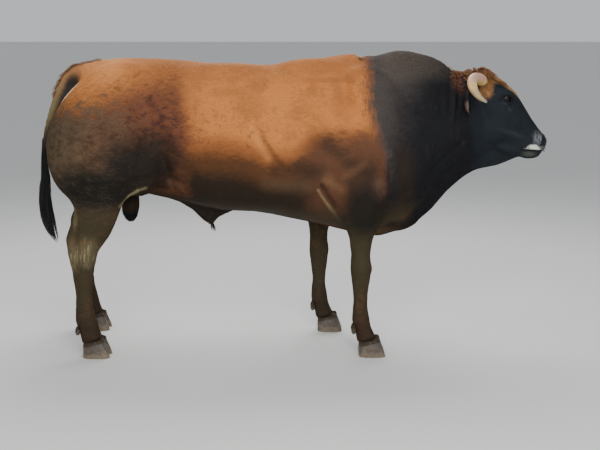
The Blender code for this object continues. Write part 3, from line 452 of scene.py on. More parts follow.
    # The neck, with a ragged edge that slants down to the brisket.
    strands = f.noise(1.0, 4, stretch=(95, 95, 16), turn=0.25) - 0.5
    line = x + wobble * 0.06 + strands * 0.085 - f.rise(z, 1.28, 0.90) * 0.080
    tint = f.mix(tint, c.red_brown, f.rise(line, 0.320, 0.375) * 0.55)
    tint = f.mix(tint, c.neck, f.rise(line, 0.335, 0.415))
    inner = f.rise(line + wobble * 0.2 + (1.44 - z) * 0.42, 0.50, 0.74)
    tint = f.mix(tint, c.neck_dark, inner * (0.94 - f.rise(strands + cloud, 0.0, 0.30) * 0.14))
    under = f.rise(line, 0.40, 0.46) * f.rise(line, 0.56, 0.48) * f.rise(z, 1.12, 0.98)
    tint = f.mix(tint, c.belly_dark, under * 0.7)
    crest = f.rise(z + side * 0.25 + wobble * 0.10, 1.35, 1.47) * f.rise(x, 0.40, 0.48)
    tint = f.mix(tint, paint(82, 74, 67), crest * 0.75 * f.rise(x, 0.86, 0.80))
    tint = f.mix(tint, c.red_brown, crest * f.rise(fine + strands, 0.04, 0.26) * 0.38)
    nape = patch(0.835, 1.345, 0.045, 0.050, 0.6) * f.rise(fine, -0.16, 0.10)
    tint = f.mix(tint, c.red_brown, nape * 0.75)
    # A dark mark beside the withers, and a brown one low between the forelegs.
    mark = patch(0.345, 1.450, 0.014, 0.010, 0.5, 0.2) * f.rise(side, 0.02, 0.05)
    tint = f.mix(tint, c.belly_dark, mark * 0.8)
    tint = f.mix(tint, paint(104, 80, 54), patch(0.42, 0.600, 0.10, 0.030, 0.8, 1.4) * 0.6)
    # The legs, the sheath and the scrotum.
    limb = f.rise(side, 0.10, 0.13) * f.rise(z + wobble * 0.06, 0.79, 0.66)
    tint = f.mix(tint, c.leg, limb)
    tint = f.mix(tint, c.red_brown, limb * f.rise(curls + broad, 0.0, 0.2) * 0.35)
    tint = f.mix(tint, c.thigh_dark, patch(0.36, 0.74, 0.10, 0.12, 0.5, 0.5) * 0.9)
    sheath = f.rise(side, 0.14, 0.09) * f.rise(z + wobble * 0.1, 0.84, 0.76) * f.rise(x, -0.62, -0.50)
    tint = f.mix(tint, paint(38, 31, 23), sheath * f.rise(x, 0.0, -0.10) * 0.85)
    pale = patch(-0.975, 0.530, 0.045, 0.060, 0.7, 1.2).over(
        patch(-1.050, 0.520, 0.030, 0.070, 0.7, 1.2)).over(patch(-1.035, 0.700, 0.012, 0.05, 0.7))
    tint = f.mix(tint, c.pale, pale * (0.2 + 0.5 * f.rise(strands + cloud, -0.06, 0.16)))
    tint = f.mix(tint, c.belly_dark, f.rise(z + wobble * 0.10, 0.34, 0.14) * 0.75)
    sac = f.rise(side, 0.11, 0.09) * f.rise(z, 0.76, 0.70) * f.rise(x, -0.60, -0.70)
    tint = f.mix(tint, c.neck_dark, sac * f.rise(z + wobble * 0.05, 0.72, 0.67))
    # The tail: red-brown at its head, dusty lower down, dark where the brush begins, and dark on its
    # inner side next to the buttock, partly its dark skin and partly painted shade in the groove there.
    tail = f.rise(side, 0.055, 0.042) * f.rise(x, -1.00, -1.06)
    dock = f.mix(paint(150, 104, 68), paint(118, 106, 74), f.rise(z + wobble * 0.2, 1.40, 1.22))
    dock = f.mix(dock, c.thigh_dark, f.rise(z + wobble * 0.2, 1.19, 1.00))
    fold = f.rise(x + (z - 1.33) * -0.44 + wobble * 0.06, -1.140, -1.095) * f.rise(z, 1.41, 1.33)
    dock = f.mix(dock, c.thigh, fold * 0.8)
    # Painted shade over the dark skin in the groove between the tail and the buttock.
    fold = f.rise(x + (z - 1.33) * -0.44 + wobble * 0.03, -1.118, -1.092) * f.rise(z, 1.395, 1.33)
    dock = f.mix(dock, paint(44, 42, 41), fold * 0.95)
    tint = f.mix(tint, dock, tail)
    return face_colour(f, c, tint, patch, wobble, side)


def face_colour(f, c, tint, patch, wobble, side):
    """The markings of the head, with painted highlights on its folds and painted shade in the mouth's
    slit, laid over the rest of the coat.
    """
    x, z = f.x, f.z
    fine = f.noise(1.0, 4, stretch=(160, 160, 60), turn=-0.5) - 0.5
    head = f.rise(x + wobble * 0.04 - (1.14 - z) * 0.17, 0.85, 0.90)
    tint = f.mix(tint, c.face, head)
    # Painted highlights along the folds on the cheek and under the eye.
    folds = patch(1.090, 1.088, 0.065, 0.011, 0.9, 0.5, -20) * 0.5
    folds = folds.over(patch(1.034, 1.238, 0.018, 0.005, 0.8, 0.3, -16)).over(
        patch(1.066, 1.206, 0.012, 0.005, 0.8, 0.3, -50) * 0.7)
    tint = f.mix(tint, paint(56, 58, 64), folds * 0.6)
    # Brown hair from the poll to a line above the eye, and round the horn's root.
    streaky = f.rise(fine + f.noise(60.0, 2) - 0.5, -0.05, 0.30)
    brown = f.mix(c.forehead, c.blaze, streaky * 0.45)
    ragged = wobble * 0.03 + fine * 0.04
    above = head * f.rise(z + ragged, 1.322, 1.344) * f.rise(x, 0.86, 0.90)
    above = above.over(head * f.rise(x + ragged + (z - 1.28) * -0.22, 0.984, 0.966)
                       * f.rise(x, 0.90, 0.93) * f.rise(z + ragged, 1.245, 1.280))
    tint = f.mix(tint, brown, above)
    # The tan blaze covers the forehead between the eyes and narrows down the nose.
    blaze = f.rise(z + (x - 1.0) * 1.05 + ragged * 0.6, 1.340, 1.362) * f.rise(x, 0.985, 1.020)
    blaze = blaze * f.rise(side + wobble * 0.04 + f.rise(x, 1.06, 1.18) * 0.085, 0.116, 0.096)
    blaze = blaze * f.rise(x + wobble * 0.08, 1.185, 1.100)
    tan = f.mix(c.blaze, c.forehead, f.rise(side + fine * 0.1, 0.02, 0.09) * 0.4)
    tint = f.mix(tint, tan, blaze * (0.75 + f.rise(fine, -0.1, 0.1) * 0.2))
    # Black lids, a grey-white halo behind the nose pad, white upper lips and a grey chin.
    lids = patch(1.050, 1.262, 0.034, 0.019, 0.3, 0.1, -22) * f.rise(side, 0.08, 0.10)
    tint = f.mix(tint, paint(13, 13, 16), lids * 0.9)
    strokes = f.noise(1.0, 3, stretch=(150, 90, 45), turn=0.35) - 0.5
    halo = patch(1.222, 1.060, 0.022, 0.030, 0.8, 0.4, 20) * (0.3 + f.rise(strokes, -0.08, 0.10) * 0.7)
    tint = f.mix(tint, paint(124, 126, 130), halo * 0.75)
    crown = f.rise(x, 1.136, 1.190) * f.rise(x, 1.252, 1.205)
    lips = f.rise(1.0085 + crown * 0.027 - z + wobble * 0.014 + fine * 0.020, -0.002, 0.012)
    lips = lips * f.rise(z + fine * 0.004, 1.002, 1.009) * f.rise(x, 1.132, 1.150)
    lips = lips * f.rise(x + wobble * 0.04, 1.256, 1.216)
    bright = f.rise(x + fine * 0.10 + (z - 1.02) * 0.9, 1.150, 1.215) * 0.66 + 0.28
    tint = f.mix(tint, c.lip, lips * bright * (1 - f.rise(fine + wobble * 0.5, 0.04, 0.26) * 0.50))
    ring = f.rise(x, 1.180, 1.235) * f.rise(z + fine * 0.012, 1.034, 1.016) * f.rise(z, 1.003, 1.009)
    tint = f.mix(tint, paint(118, 118, 116), ring * 0.42)
    chin = patch(1.180, 0.983, 0.034, 0.0135, 0.6, 0.4)
    tint = f.mix(tint, c.chin, chin * 0.9)
    # Painted shade along the slit of the mouth.
    line = f.rise(abs(z - 1.0035 + (x - 1.2) * 0.06), 0.0060, 0.0025) * f.rise(x, 1.120, 1.140)
    tint = f.mix(tint, paint(20, 18, 18), line)
    # The inside of the ear, pink and tan along its lower front.
    strip = patch(0.842, 1.231, 0.011, 0.027, 0.35, 0.3, 0) * f.rise(side, 0.185, 0.205)
    tint = f.mix(tint, paint(116, 96, 84), strip * 0.9)
    return f.mix(tint, paint(24, 26, 29), wet_nose(f))


def coat_height(f):
    """Relief of the short coat: fine streaks along the lie of the hair and soft clumps."""
    body = f.noise(1.0, 3, stretch=(46, 250, 230), turn=0.28)
    limb = f.noise(1.0, 3, stretch=(240, 240, 46))
    streaks = f.mix(body, limb, f.rise(f.z, 0.78, 0.66))
    return streaks * 0.7 + f.noise(70.0, 2) * 0.5 + f.noise(24.0, 2) * 0.5


def wet_nose(f):
    """1 on the bare, wet pad of the nose."""
    edge = f.noise(55.0, 3) - 0.5
    front = f.rise(f.x - (f.z - 1.06) * 0.25 + edge * 0.020, 1.2325, 1.2400)
    return front * f.rise(f.z + edge * 0.012, 1.024, 1.030) * f.rise(f.z + edge * 0.02, 1.114, 1.106)


def skin_finish():
    """The skin, painted and ruffled as the coat that covers it."""
    f = Finish("bull_skin", Specular_IOR_Level=0.15)
    wet = wet_nose(f)
    cobbles = f.node("ShaderNodeTexVoronoi", {"feature": "SMOOTH_F1"}, {
        "Vector": f.place, "Scale": 260.0,
    })
    height = coat_height(f) * (1 - wet) - cobbles * wet * 0.25
    rough = 0.62 + f.noise(40.0, 2) * 0.2 - wet * 0.40
    return f.finished(coat_colour(f), rough, height, 0.0022, 0.7)


def tuft_finish():
    """Tufts of the short coat: the same markings and painted shade and highlights as the skin, darker
    at the root, each a little different.
    """
    f = Finish("bull_coat", Specular_IOR_Level=0.15)
    shade = f.stored("shade")
    along = f.stored("along")
    amount = 0.80 + shade * 0.32 + along * 0.12
    return f.finished(f.shaded(coat_colour(f), amount), 0.66)


def hair_finish(name, root, tip):
    """Strands of long hair, from their root colour to their tip colour."""
    f = Finish(name, Specular_IOR_Level=0.30)
    shade = f.stored("shade")
    along = f.stored("along")
    tint = f.mix(root, tip, along * 0.7 + f.noise(30.0, 2) * 0.3)
    return f.finished(f.shaded(tint, 0.62 + shade * 0.66), 0.48 + shade * 0.15)


# Mesh helpers

def new_object(name, mesh):
    """An object that holds the mesh, in the scene."""
    obj = bpy.data.objects.new(name, mesh)
    bpy.context.scene.collection.objects.link(obj)
    return obj


def from_bmesh(name, bm):
    """An object made from a bmesh, which is freed."""
    mesh = bpy.data.meshes.new(name)
    bm.to_mesh(mesh)
    bm.free()
    return new_object(name, mesh)


def baked(obj):
    """Applies all modifiers of the object."""
    graph = bpy.context.evaluated_depsgraph_get()
    mesh = bpy.data.meshes.new_from_object(obj.evaluated_get(graph))
    obj.modifiers.clear()
    obj.data = mesh
    return obj


def dressed(obj, material, slot, *nodes, smooth=True):
    """Finishes a piece: its material, its shading, its body and what it stands for; the slot is not
    used.
    """
    obj.data.materials.clear()
    obj.data.materials.append(material)
    if smooth:
        obj.data.shade_smooth()
    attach(obj, "root")
    if nodes:
        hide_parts(*nodes)
    return obj


def points_of(mesh, kind="co"):
    """The places or normals of a mesh's points as rows."""
    rows = np.empty(len(mesh.vertices) * 3)
    mesh.vertices.foreach_get(kind, rows)
    return rows.reshape(-1, 3)


def place_points(mesh, rows):
    """Moves the mesh's points to the given rows."""
    mesh.vertices.foreach_set("co", rows.ravel())
    mesh.update()


def smooth_rise(value, start, end):
    """Goes smoothly from 0 where value is start to 1 where it is end."""
    t = np.clip((value - start) / (end - start), 0, 1)
    return t * t * (3 - 2 * t)


def triangle_mesh(name, points, faces):
    """A mesh from arrays of points and triangles."""
    mesh = bpy.data.meshes.new(name)
    mesh.vertices.add(len(points))
    mesh.vertices.foreach_set("co", points.astype(np.float32).ravel())
    mesh.loops.add(faces.size)
    mesh.loops.foreach_set("vertex_index", faces.astype(np.int32).ravel())
    mesh.polygons.add(len(faces))
    mesh.polygons.foreach_set("loop_start", np.arange(0, faces.size, 3, dtype=np.int32))
    mesh.update(calc_edges=True)
    return mesh


def ring_loft(name, rings):
    """A closed object through rings of points: each ring is extruded from the one before."""
    bm = bmesh.new()
    edges = []
    first = [bm.verts.new(p) for p in rings[0]]
    for i, vert in enumerate(first):
        edges.append(bm.edges.new((vert, first[(i + 1) % len(first)])))
    bm.faces.new(first)
    verts = first
    for ring in rings[1:]:
        made = bmesh.ops.extrude_edge_only(bm, edges=edges)["geom"]
        edges = [e for e in made if isinstance(e, bmesh.types.BMEdge)]
        above = {}
        for vert in verts:
            for edge in vert.link_edges:
                other = edge.other_vert(vert)
                if other in made and other not in verts:
                    above[vert] = other
        verts = [above[v] for v in verts]
        for vert, point in zip(verts, ring):
            vert.co = point
        chain = set(verts)
        edges = [e for e in edges if e.verts[0] in chain and e.verts[1] in chain]
    bm.faces.new(verts)
    bmesh.ops.recalc_face_normals(bm, faces=bm.faces)
    return from_bmesh(name, bm)


def smooth_rows(rows, steps):
    """Rows of numbers read from a smooth curve through the given rows."""
    rows = np.array(rows, float)
    slopes = np.gradient(rows, axis=0)
    made = []
    for i in range(len(rows) - 1):
        for k in range(steps):
            t = k / steps
            made.append(
                (2 * t**3 - 3 * t**2 + 1) * rows[i] + (t**3 - 2 * t**2 + t) * slopes[i]
                + (3 * t**2 - 2 * t**3) * rows[i + 1] + (t**3 - t**2) * slopes[i + 1]
            )
    made.append(rows[-1])
    return np.array(made)


# The skin

def cad_copy(names, grow=0.0004):
    """One mesh of the named CAD nodes, each closed and moved out until they overlap."""
    bm = bmesh.new()
    for name in names:
        part = bmesh.new()
        part.from_mesh(NODES[name].data)
        bmesh.ops.remove_doubles(part, verts=part.verts, dist=0.00001)
        part.normal_update()
        moves = [(v, v.normal * grow) for v in part.verts]
        for vert, move in moves:
            vert.co += move
        mesh = bpy.data.meshes.new("copy")
        part.to_mesh(mesh)
        part.free()
        bm.from_mesh(mesh)
        bpy.data.meshes.remove(mesh)
    return bm


def fused(bm, name, grid):
    """The bmesh's closed bodies fused into one surface of even faces."""
    obj = from_bmesh(name, bm)
    remesh = obj.modifiers.new("Fuse", "REMESH")
    remesh.mode = "VOXEL"
    remesh.voxel_size = grid
    return baked(obj)


def softened(obj, steps, weights=None):
    """Smooths the object, where the weights ask for it."""
    soften = obj.modifiers.new("Soften", "SMOOTH")
    soften.factor = 0.5
    soften.iterations = steps
    if weights is not None:
        group = obj.vertex_groups.new(name="soften")
        for step in range(11):
            chosen = np.nonzero(np.round(weights * 10).astype(int) == step)[0]
            if step and len(chosen):
                group.add(chosen.tolist(), step / 10, "REPLACE")
        soften.vertex_group = "soften"
    return baked(obj)


# An ear: its root and tip, half its width, the depth of its cup and its thickness.
EAR_ROOT, EAR_TIP = (0.885, 0.082, 1.292), (0.835, 0.288, 1.222)
EAR_HALF_WIDTH, EAR_CUP, EAR_SKIN = 0.050, 0.036, 0.0075
EAR_OPENING, EAR_DROOP = (0.80, 0, 0.10), 0.012


def ear_frame(side):
    """The root, tip, opening and width directions of an ear."""
    root, tip = Vector(EAR_ROOT), Vector(EAR_TIP)
    if side < 0:
        root, tip = root * MIRROR, tip * MIRROR
    along = (tip - root).normalized()
    opening = Vector(EAR_OPENING)
    opening = (opening - along * opening.dot(along)).normalized()
    return root, tip, opening, along.cross(opening)


def ear_half_width(t):
    """Half the ear's width at a share t of its length."""
    leaf = 0.36 + 0.64 * math.sin(math.pi * min(t * 0.80 + 0.10, 1))
    return EAR_HALF_WIDTH * leaf * (1 - float(smooth_rise(t, 0.60, 1.02))) + 0.004


def ear(side, steps=34, across_steps=15):
    """A cupped leaf with a rounded rim, from its root in the head to its tip."""
    root, tip, opening, across = ear_frame(side)
    rings = []
    for i in range(steps + 1):
        t = i / steps
        half = ear_half_width(t)
        cup = EAR_CUP * (1 - 0.55 * t) * (half / EAR_HALF_WIDTH)
        skin = EAR_SKIN * (1 - 0.45 * t) * min(1, half / 0.02)
        base = root.lerp(tip, t) - Vector((0, 0, EAR_DROOP * t * t))
        ring = []
        for row, order in ((0, range(across_steps)), (1, range(across_steps - 2, 0, -1))):
            for k in order:
                u = -1 + 2 * k / (across_steps - 1)
                lift = -cup * (1 - u * u) + row * skin * (1.25 - u * u)
                ring.append(base + across * half * u * (1 - 0.05 * row) + opening * lift)
        rings.append(ring)
    return ring_loft("ear", rings)


def sliced(bm, place, normal, fill):
    """Cuts the bmesh by a plane, keeps the side that the normal points to, and may close it."""
    made = bmesh.ops.bisect_plane(
        bm, geom=[*bm.verts, *bm.edges, *bm.faces], dist=1e-6, plane_co=place, plane_no=normal,
        clear_inner=True,
    )["geom_cut"]
    rim = [e for e in made if isinstance(e, bmesh.types.BMEdge)]
    if fill:
        bmesh.ops.edgeloop_fill(bm, edges=rim)


def face_skin(settings):
    """The skin of the head and the front of the neck on the fine grid, with its ears."""
    bm = cad_copy(("head", "neck"))
    sliced(bm, (NECK_STUB_X, 0, 1.1), (1, 0, 0), fill=True)
    bmesh.ops.triangulate(bm, faces=bm.faces)
    face = fused(bm, "face", settings.face_grid)
    face = softened(face, 9, face_softness(points_of(face.data)))
    for _, side in SIDES:
        join = face.modifiers.new("Join", "BOOLEAN")
        join.operation = "UNION"
        join.solver = "MANIFOLD"
        join.object = ear(side)
        baked(face)
        bpy.data.objects.remove(bpy.data.objects["ear"])
    rows = points_of(face.data)
    near = np.min([
        np.linalg.norm(rows - np.array((0.878, side * 0.110, 1.284)), axis=1) for _, side in SIDES
    ], axis=0)
    return softened(face, 10, 1 - smooth_rise(near, 0.030, 0.062))


# Places on the head that keep their edges when the face is smoothed: point and reach.
EYE = (1.046, 0.118, 1.262)
EYE_RADIUS = 0.021
KEEP_SHARP = (
    (EYE, 0.036),
    ((1.250, 0.040, 1.055), 0.042),
    ((1.200, 0.070, 1.000), 0.034),
    ((1.245, 0.030, 0.998), 0.034),
    ((1.160, 0.070, 1.005), 0.030),
)


def face_softness(rows):
    """How far each point of the face is smoothed."""
    share = np.ones(len(rows))
    for place, reach in KEEP_SHARP:
        for _, side in SIDES:
            away = np.linalg.norm(rows - np.array(place) * (1, side, 1), axis=1)
            share = np.minimum(share, 0.30 + 0.70 * smooth_rise(away, reach * 0.7, reach * 1.2))
    return share


def joined_skin(settings):
    """The body's skin and the face's skin, sewn together across the neck."""
    body = fused(cad_copy(BODY_NODES), "body", settings.body_grid)
    body = softened(body, 5)
    face = face_skin(settings)
    bm = bmesh.new()
    for obj, way in ((body, -1), (face, 1)):
        part = bmesh.new()
        part.from_mesh(obj.data)
        sliced(part, (SEAM_X + way * SEAM_HALF, 0, 1.1), (way, 0, 0), fill=False)
        mesh = bpy.data.meshes.new("part")
        part.to_mesh(mesh)
        part.free()
        bm.from_mesh(mesh)
        bpy.data.objects.remove(obj)
    rim = [e for e in bm.edges if e.is_boundary]
    bmesh.ops.bridge_loops(bm, edges=rim)
    bmesh.ops.recalc_face_normals(bm, faces=bm.faces)
    return from_bmesh("skin", bm)


# A form pressed into the skin or raised on it, on both sides: the line that it follows, how wide
# it spreads and how high it stands, where less than 0 is a groove.
BODY_FORMS = (
    # Behind the shoulder blade, over the shoulder's shade and in front of it.
    ([(0.190, 0.250, 1.390), (0.165, 0.320, 1.230), (0.160, 0.345, 1.100)], 0.045, -0.009),
    ([(0.130, 0.345, 1.080), (0.201, 0.333, 1.050), (0.257, 0.335, 1.022)], 0.026, -0.012),
    ([(0.040, 0.365, 1.035), (0.110, 0.352, 0.995), (0.150, 0.345, 0.955)], 0.028, -0.008),
    ([(0.300, 0.250, 1.360), (0.300, 0.310, 1.180)], 0.055, 0.010),
    ([(0.260, 0.330, 0.950)], 0.085, 0.012),
    ([(0.330, 0.340, 0.860)], 0.060, 0.008),
    # The crease on the ribs and the roll of skin below it.
    ([(-0.165, 0.355, 1.155), (-0.129, 0.368, 1.094), (-0.078, 0.374, 1.006), (-0.040, 0.371, 0.955)],
     0.017, -0.0055),
    ([(-0.180, 0.358, 1.120), (-0.150, 0.365, 1.060), (-0.105, 0.374, 0.990)], 0.022, 0.0045),
    ([(-0.060, 0.372, 1.060), (-0.030, 0.372, 1.000)], 0.030, 0.0040),
    # The elbow's fold with its raised edge, which carries a painted highlight, and the groove in front
    # of it.
    ([(0.128, 0.324, 0.850), (0.152, 0.305, 0.807), (0.191, 0.262, 0.746), (0.250, 0.185, 0.668)],
     0.013, 0.0035),
    ([(0.158, 0.324, 0.850), (0.178, 0.305, 0.807), (0.214, 0.270, 0.750)], 0.016, -0.0075),
    ([(0.120, 0.330, 0.880), (0.090, 0.330, 0.830)], 0.030, 0.0050),
    # Upper arm: its rear and front edges and the muscles between.
    ([(0.345, 0.340, 0.966), (0.250, 0.345, 0.905)], 0.018, 0.0040),
    ([(0.300, 0.350, 0.930), (0.330, 0.340, 0.860)], 0.020, -0.0040),
    ([(0.400, 0.330, 0.970), (0.452, 0.316, 0.900), (0.458, 0.316, 0.820)], 0.018, 0.0080),
    ([(0.380, 0.335, 0.900), (0.392, 0.330, 0.820)], 0.014, -0.0060),
    ([(0.485, 0.290, 0.960), (0.494, 0.270, 0.870), (0.480, 0.230, 0.780)], 0.018, -0.0100),
    # Withers notch, and the neck's set into the shoulder.
    ([(0.345, 0.000, 1.470), (0.360, 0.120, 1.435)], 0.018, -0.0060),
    ([(0.400, 0.250, 1.350), (0.430, 0.300, 1.200), (0.455, 0.300, 1.050)], 0.035, -0.0070),
    ([(0.560, 0.250, 1.250), (0.620, 0.240, 1.080), (0.640, 0.200, 0.930)], 0.040, 0.0060),
    ([(0.520, 0.265, 1.060), (0.570, 0.240, 0.930), (0.585, 0.190, 0.820)], 0.024, -0.0060),
    # Folds of the neck behind the jaw.
    ([(0.806, 0.050, 1.372), (0.797, 0.134, 1.302), (0.792, 0.172, 1.233), (0.781, 0.194, 1.150)],
     0.011, 0.0060),
    ([(0.826, 0.050, 1.368), (0.818, 0.130, 1.300), (0.812, 0.165, 1.230)], 0.010, -0.0050),
    ([(0.782, 0.060, 1.385), (0.774, 0.140, 1.312), (0.768, 0.185, 1.220)], 0.011, -0.0045),
    ([(0.742, 0.080, 1.398), (0.730, 0.160, 1.310), (0.725, 0.200, 1.200)], 0.014, -0.0035),
    ([(0.700, 0.090, 1.420), (0.690, 0.180, 1.320)], 0.016, -0.0030),
    ([(0.845, 0.160, 1.060), (0.770, 0.185, 1.000), (0.700, 0.190, 0.930)], 0.014, -0.0045),
    ([(0.880, 0.120, 0.985), (0.800, 0.140, 0.925), (0.720, 0.150, 0.850)], 0.013, -0.0045),
    ([(0.900, 0.080, 0.935), (0.820, 0.090, 0.870), (0.720, 0.100, 0.770)], 0.012, -0.0040),
    ([(0.700, 0.110, 0.760), (0.620, 0.130, 0.690), (0.540, 0.140, 0.650)], 0.013, -0.0045),
    # The flank: its fold, the raised edge of skin that carries a painted highlight, and the hollow
    # above it.
    ([(-0.835, 0.250, 0.762), (-0.807, 0.250, 0.785), (-0.767, 0.268, 0.815), (-0.723, 0.290, 0.843),
      (-0.675, 0.290, 0.856)], 0.009, 0.0065),
    ([(-0.790, 0.300, 0.850), (-0.720, 0.320, 0.885), (-0.640, 0.310, 0.890)], 0.022, -0.0060),
    ([(-0.560, 0.300, 0.960), (-0.530, 0.285, 0.880), (-0.520, 0.230, 0.800)], 0.026, 0.0070),
    ([(-0.600, 0.295, 0.990), (-0.585, 0.275, 0.900), (-0.570, 0.215, 0.830)], 0.018, -0.0080),
    ([(-0.480, 0.290, 1.300), (-0.500, 0.305, 1.180)], 0.060, -0.0080),
    # Thigh: the groove between its two rear muscles and the one above the flank.
    ([(-1.085, 0.150, 1.290), (-1.100, 0.250, 1.150), (-1.070, 0.310, 1.000), (-1.010, 0.320, 0.880)],
     0.020, -0.0060),
    ([(-0.930, 0.330, 1.180), (-0.880, 0.345, 1.050), (-0.850, 0.340, 0.920)], 0.030, -0.0035),
    ([(-0.700, 0.200, 1.440)], 0.050, 0.0060),
    ([(-0.960, 0.120, 1.425)], 0.030, 0.0050),
    # The trough along the back of a double-muscled bull.
    ([(-0.900, 0, 1.462), (-0.500, 0, 1.450), (-0.100, 0, 1.430), (0.060, 0, 1.440)], 0.022, -0.0050),
    # Hocks and knees: bone, tendons and hollows.
    ([(-1.085, 0.240, 0.590)], 0.022, 0.0050),
    ([(-1.030, 0.292, 0.640), (-1.052, 0.285, 0.560)], 0.014, -0.0070),
    ([(-0.960, 0.285, 0.560), (-0.975, 0.290, 0.500)], 0.018, 0.0040),
    ([(-1.040, 0.270, 0.440), (-1.036, 0.268, 0.260)], 0.009, -0.0040),
    ([(0.345, 0.275, 0.440)], 0.026, 0.0030),
    ([(0.340, 0.262, 0.350), (0.336, 0.260, 0.220)], 0.008, -0.0035),
    ([(0.395, 0.220, 0.440)], 0.022, 0.0040),
    # The sheath's folds.
    ([(-0.500, 0.045, 0.730), (-0.430, 0.040, 0.680)], 0.010, -0.0040),
    ([(-0.560, 0.040, 0.760), (-0.470, 0.046, 0.700), (-0.410, 0.030, 0.650)], 0.008, 0.0030),
)

FACE_FORMS = (
    # Brow, lids and the hollows round the eye.
    ([(1.004, 0.118, 1.296), (1.040, 0.124, 1.300), (1.076, 0.112, 1.282)], 0.012, 0.0050),
    ([(1.008, 0.134, 1.240), (1.040, 0.136, 1.228), (1.078, 0.122, 1.226)], 0.008, -0.0028),
    ([(1.070, 0.118, 1.244), (1.094, 0.108, 1.222), (1.108, 0.100, 1.196)], 0.007, -0.0030),
    ([(0.985, 0.124, 1.302)], 0.020, -0.0040),
    ([(1.030, 0.100, 1.322), (1.000, 0.105, 1.328)], 0.018, 0.0030),
    # Cheek and jaw.
    ([(0.960, 0.120, 1.180), (0.985, 0.112, 1.100), (1.030, 0.090, 1.045)], 0.014, -0.0035),
    ([(1.040, 0.112, 1.170), (1.050, 0.098, 1.090)], 0.026, 0.0030),
    ([(1.070, 0.110, 1.190), (1.120, 0.098, 1.130), (1.160, 0.088, 1.090)], 0.012, 0.0035),
    ([(1.060, 0.104, 1.150), (1.110, 0.092, 1.090), (1.150, 0.084, 1.050)], 0.012, -0.0030),
    ([(1.120, 0.070, 1.200), (1.160, 0.066, 1.150), (1.195, 0.062, 1.105)], 0.012, -0.0025),
    # Folds behind the nostril and over the lip.
    ([(1.194, 0.078, 1.092), (1.186, 0.084, 1.068), (1.192, 0.084, 1.042)], 0.0045, -0.0022),
    ([(1.180, 0.078, 1.094), (1.170, 0.085, 1.062), (1.176, 0.085, 1.036)], 0.0045, -0.0018),
    ([(1.166, 0.080, 1.090), (1.156, 0.086, 1.056)], 0.0045, -0.0014),
    ([(1.256, 0.066, 1.078), (1.236, 0.076, 1.086), (1.222, 0.080, 1.080)], 0.0060, 0.0035),
    ([(1.150, 0.078, 1.020), (1.200, 0.082, 1.014), (1.240, 0.066, 1.012)], 0.0070, 0.0025),
    ([(1.160, 0.066, 0.984), (1.200, 0.062, 0.980), (1.232, 0.040, 0.982)], 0.0060, 0.0020),
    ([(1.274, 0.000, 1.050), (1.262, 0.000, 1.012)], 0.0035, -0.0025),
    ([(1.262, 0.044, 1.060), (1.270, 0.026, 1.042), (1.274, 0.024, 1.030)], 0.0040, -0.0030),
    ([(1.030, 0.094, 1.108), (1.090, 0.094, 1.088), (1.145, 0.084, 1.065)], 0.0100, 0.0030),
    # The collar of skin round the horn.
    ([(0.950, 0.104, 1.322), (0.926, 0.106, 1.318)], 0.014, 0.0030),
)


def away_from(rows, line, side):
    """How far each point is from a line, which is mirrored for the right side."""
    away = np.full(len(rows), 1e9)
    ends = [np.array(p) * (1, side, 1) for p in line]
    for a, b in zip(ends, ends[1:] or ends):
        run = b - a
        share = np.clip((rows - a) @ run / max(run @ run, 1e-9), 0, 1)
        away = np.minimum(away, np.linalg.norm(rows - a - share[:, None] * run, axis=1))
    return away


def split_near(obj, lines):
    """Splits each face near the given lines into four. A line has points and a reach."""
    mesh = obj.data
    rows = np.empty(len(mesh.polygons) * 3)
    mesh.polygons.foreach_get("center", rows)
    rows = rows.reshape(-1, 3)
    near = np.zeros(len(rows), bool)
    for line, reach in lines:
        for _, side in SIDES:
            near |= away_from(rows, line, side) < reach
    bm = bmesh.new()
    bm.from_mesh(mesh)
    bm.faces.ensure_lookup_table()
    edges = list({e for i in np.nonzero(near)[0] for e in bm.faces[i].edges})
    bmesh.ops.subdivide_edges(bm, edges=edges, cuts=1, use_grid_fill=True)
    bm.to_mesh(mesh)
    bm.free()


def pressed(mesh, forms):
    """Moves the mesh's points along their normals to press the forms in or raise them."""
    rows, normals = points_of(mesh), points_of(mesh, "normal")
    moved = np.zeros(len(rows))
    for line, spread, rise in forms:
        for _, side in SIDES:
            if side < 0 and all(p[1] == 0 for p in line):
                continue
            moved += rise * np.exp(-((away_from(rows, line, side) / spread) ** 2))
    place_points(mesh, rows + normals * moved[:, None])


def eye_arc(radius, start, end, squash=0.78, lift=0.012):
    """A form's line round the left eye, from one angle in degrees to another over the slit."""
    turns = np.radians(np.linspace(start, end, 9))
    points = [Vector((radius * math.cos(a), -radius * squash * math.sin(a), lift)) for a in turns]
    return [tuple(eye_frame(1) @ p) for p in points]


def lid_forms():
    """The lids' rims, the creases that set them off and the bag under the eye."""
    return (
        (eye_arc(0.0240, 15, 165), 0.0036, 0.0020),
        (eye_arc(0.0310, 10, 170), 0.0030, -0.0018),
        (eye_arc(0.0370, 20, 160), 0.0045, 0.0018),
        (eye_arc(0.0235, 195, 345), 0.0034, 0.0016),
        (eye_arc(0.0300, 190, 350), 0.0030, -0.0016),
        (eye_arc(0.0370, 200, 340), 0.0050, 0.0012),
    )


def coat_thickness(rows, settings):
    """How deep the coat lies over the skin at each point."""
    x, z = rows[:, 0], rows[:, 2]
    depth = settings.coat_depth + (settings.face_depth - settings.coat_depth) * \
        smooth_rise(x, 0.86, 0.96)
    depth = depth * (1 - 0.5 * smooth_rise(-z, -0.70, -0.50) * (x < 0.8))
    return depth * (1 - wet_share(rows))


def wet_share(rows):
    """1 at points on the bare pad of the nose."""
    x, z = rows[:, 0], rows[:, 2]
    front = smooth_rise(x - (z - 1.06) * 0.25, 1.2300, 1.2400)
    return front * smooth_rise(z, 1.022, 1.030) * (1 - smooth_rise(z, 1.106, 1.116))


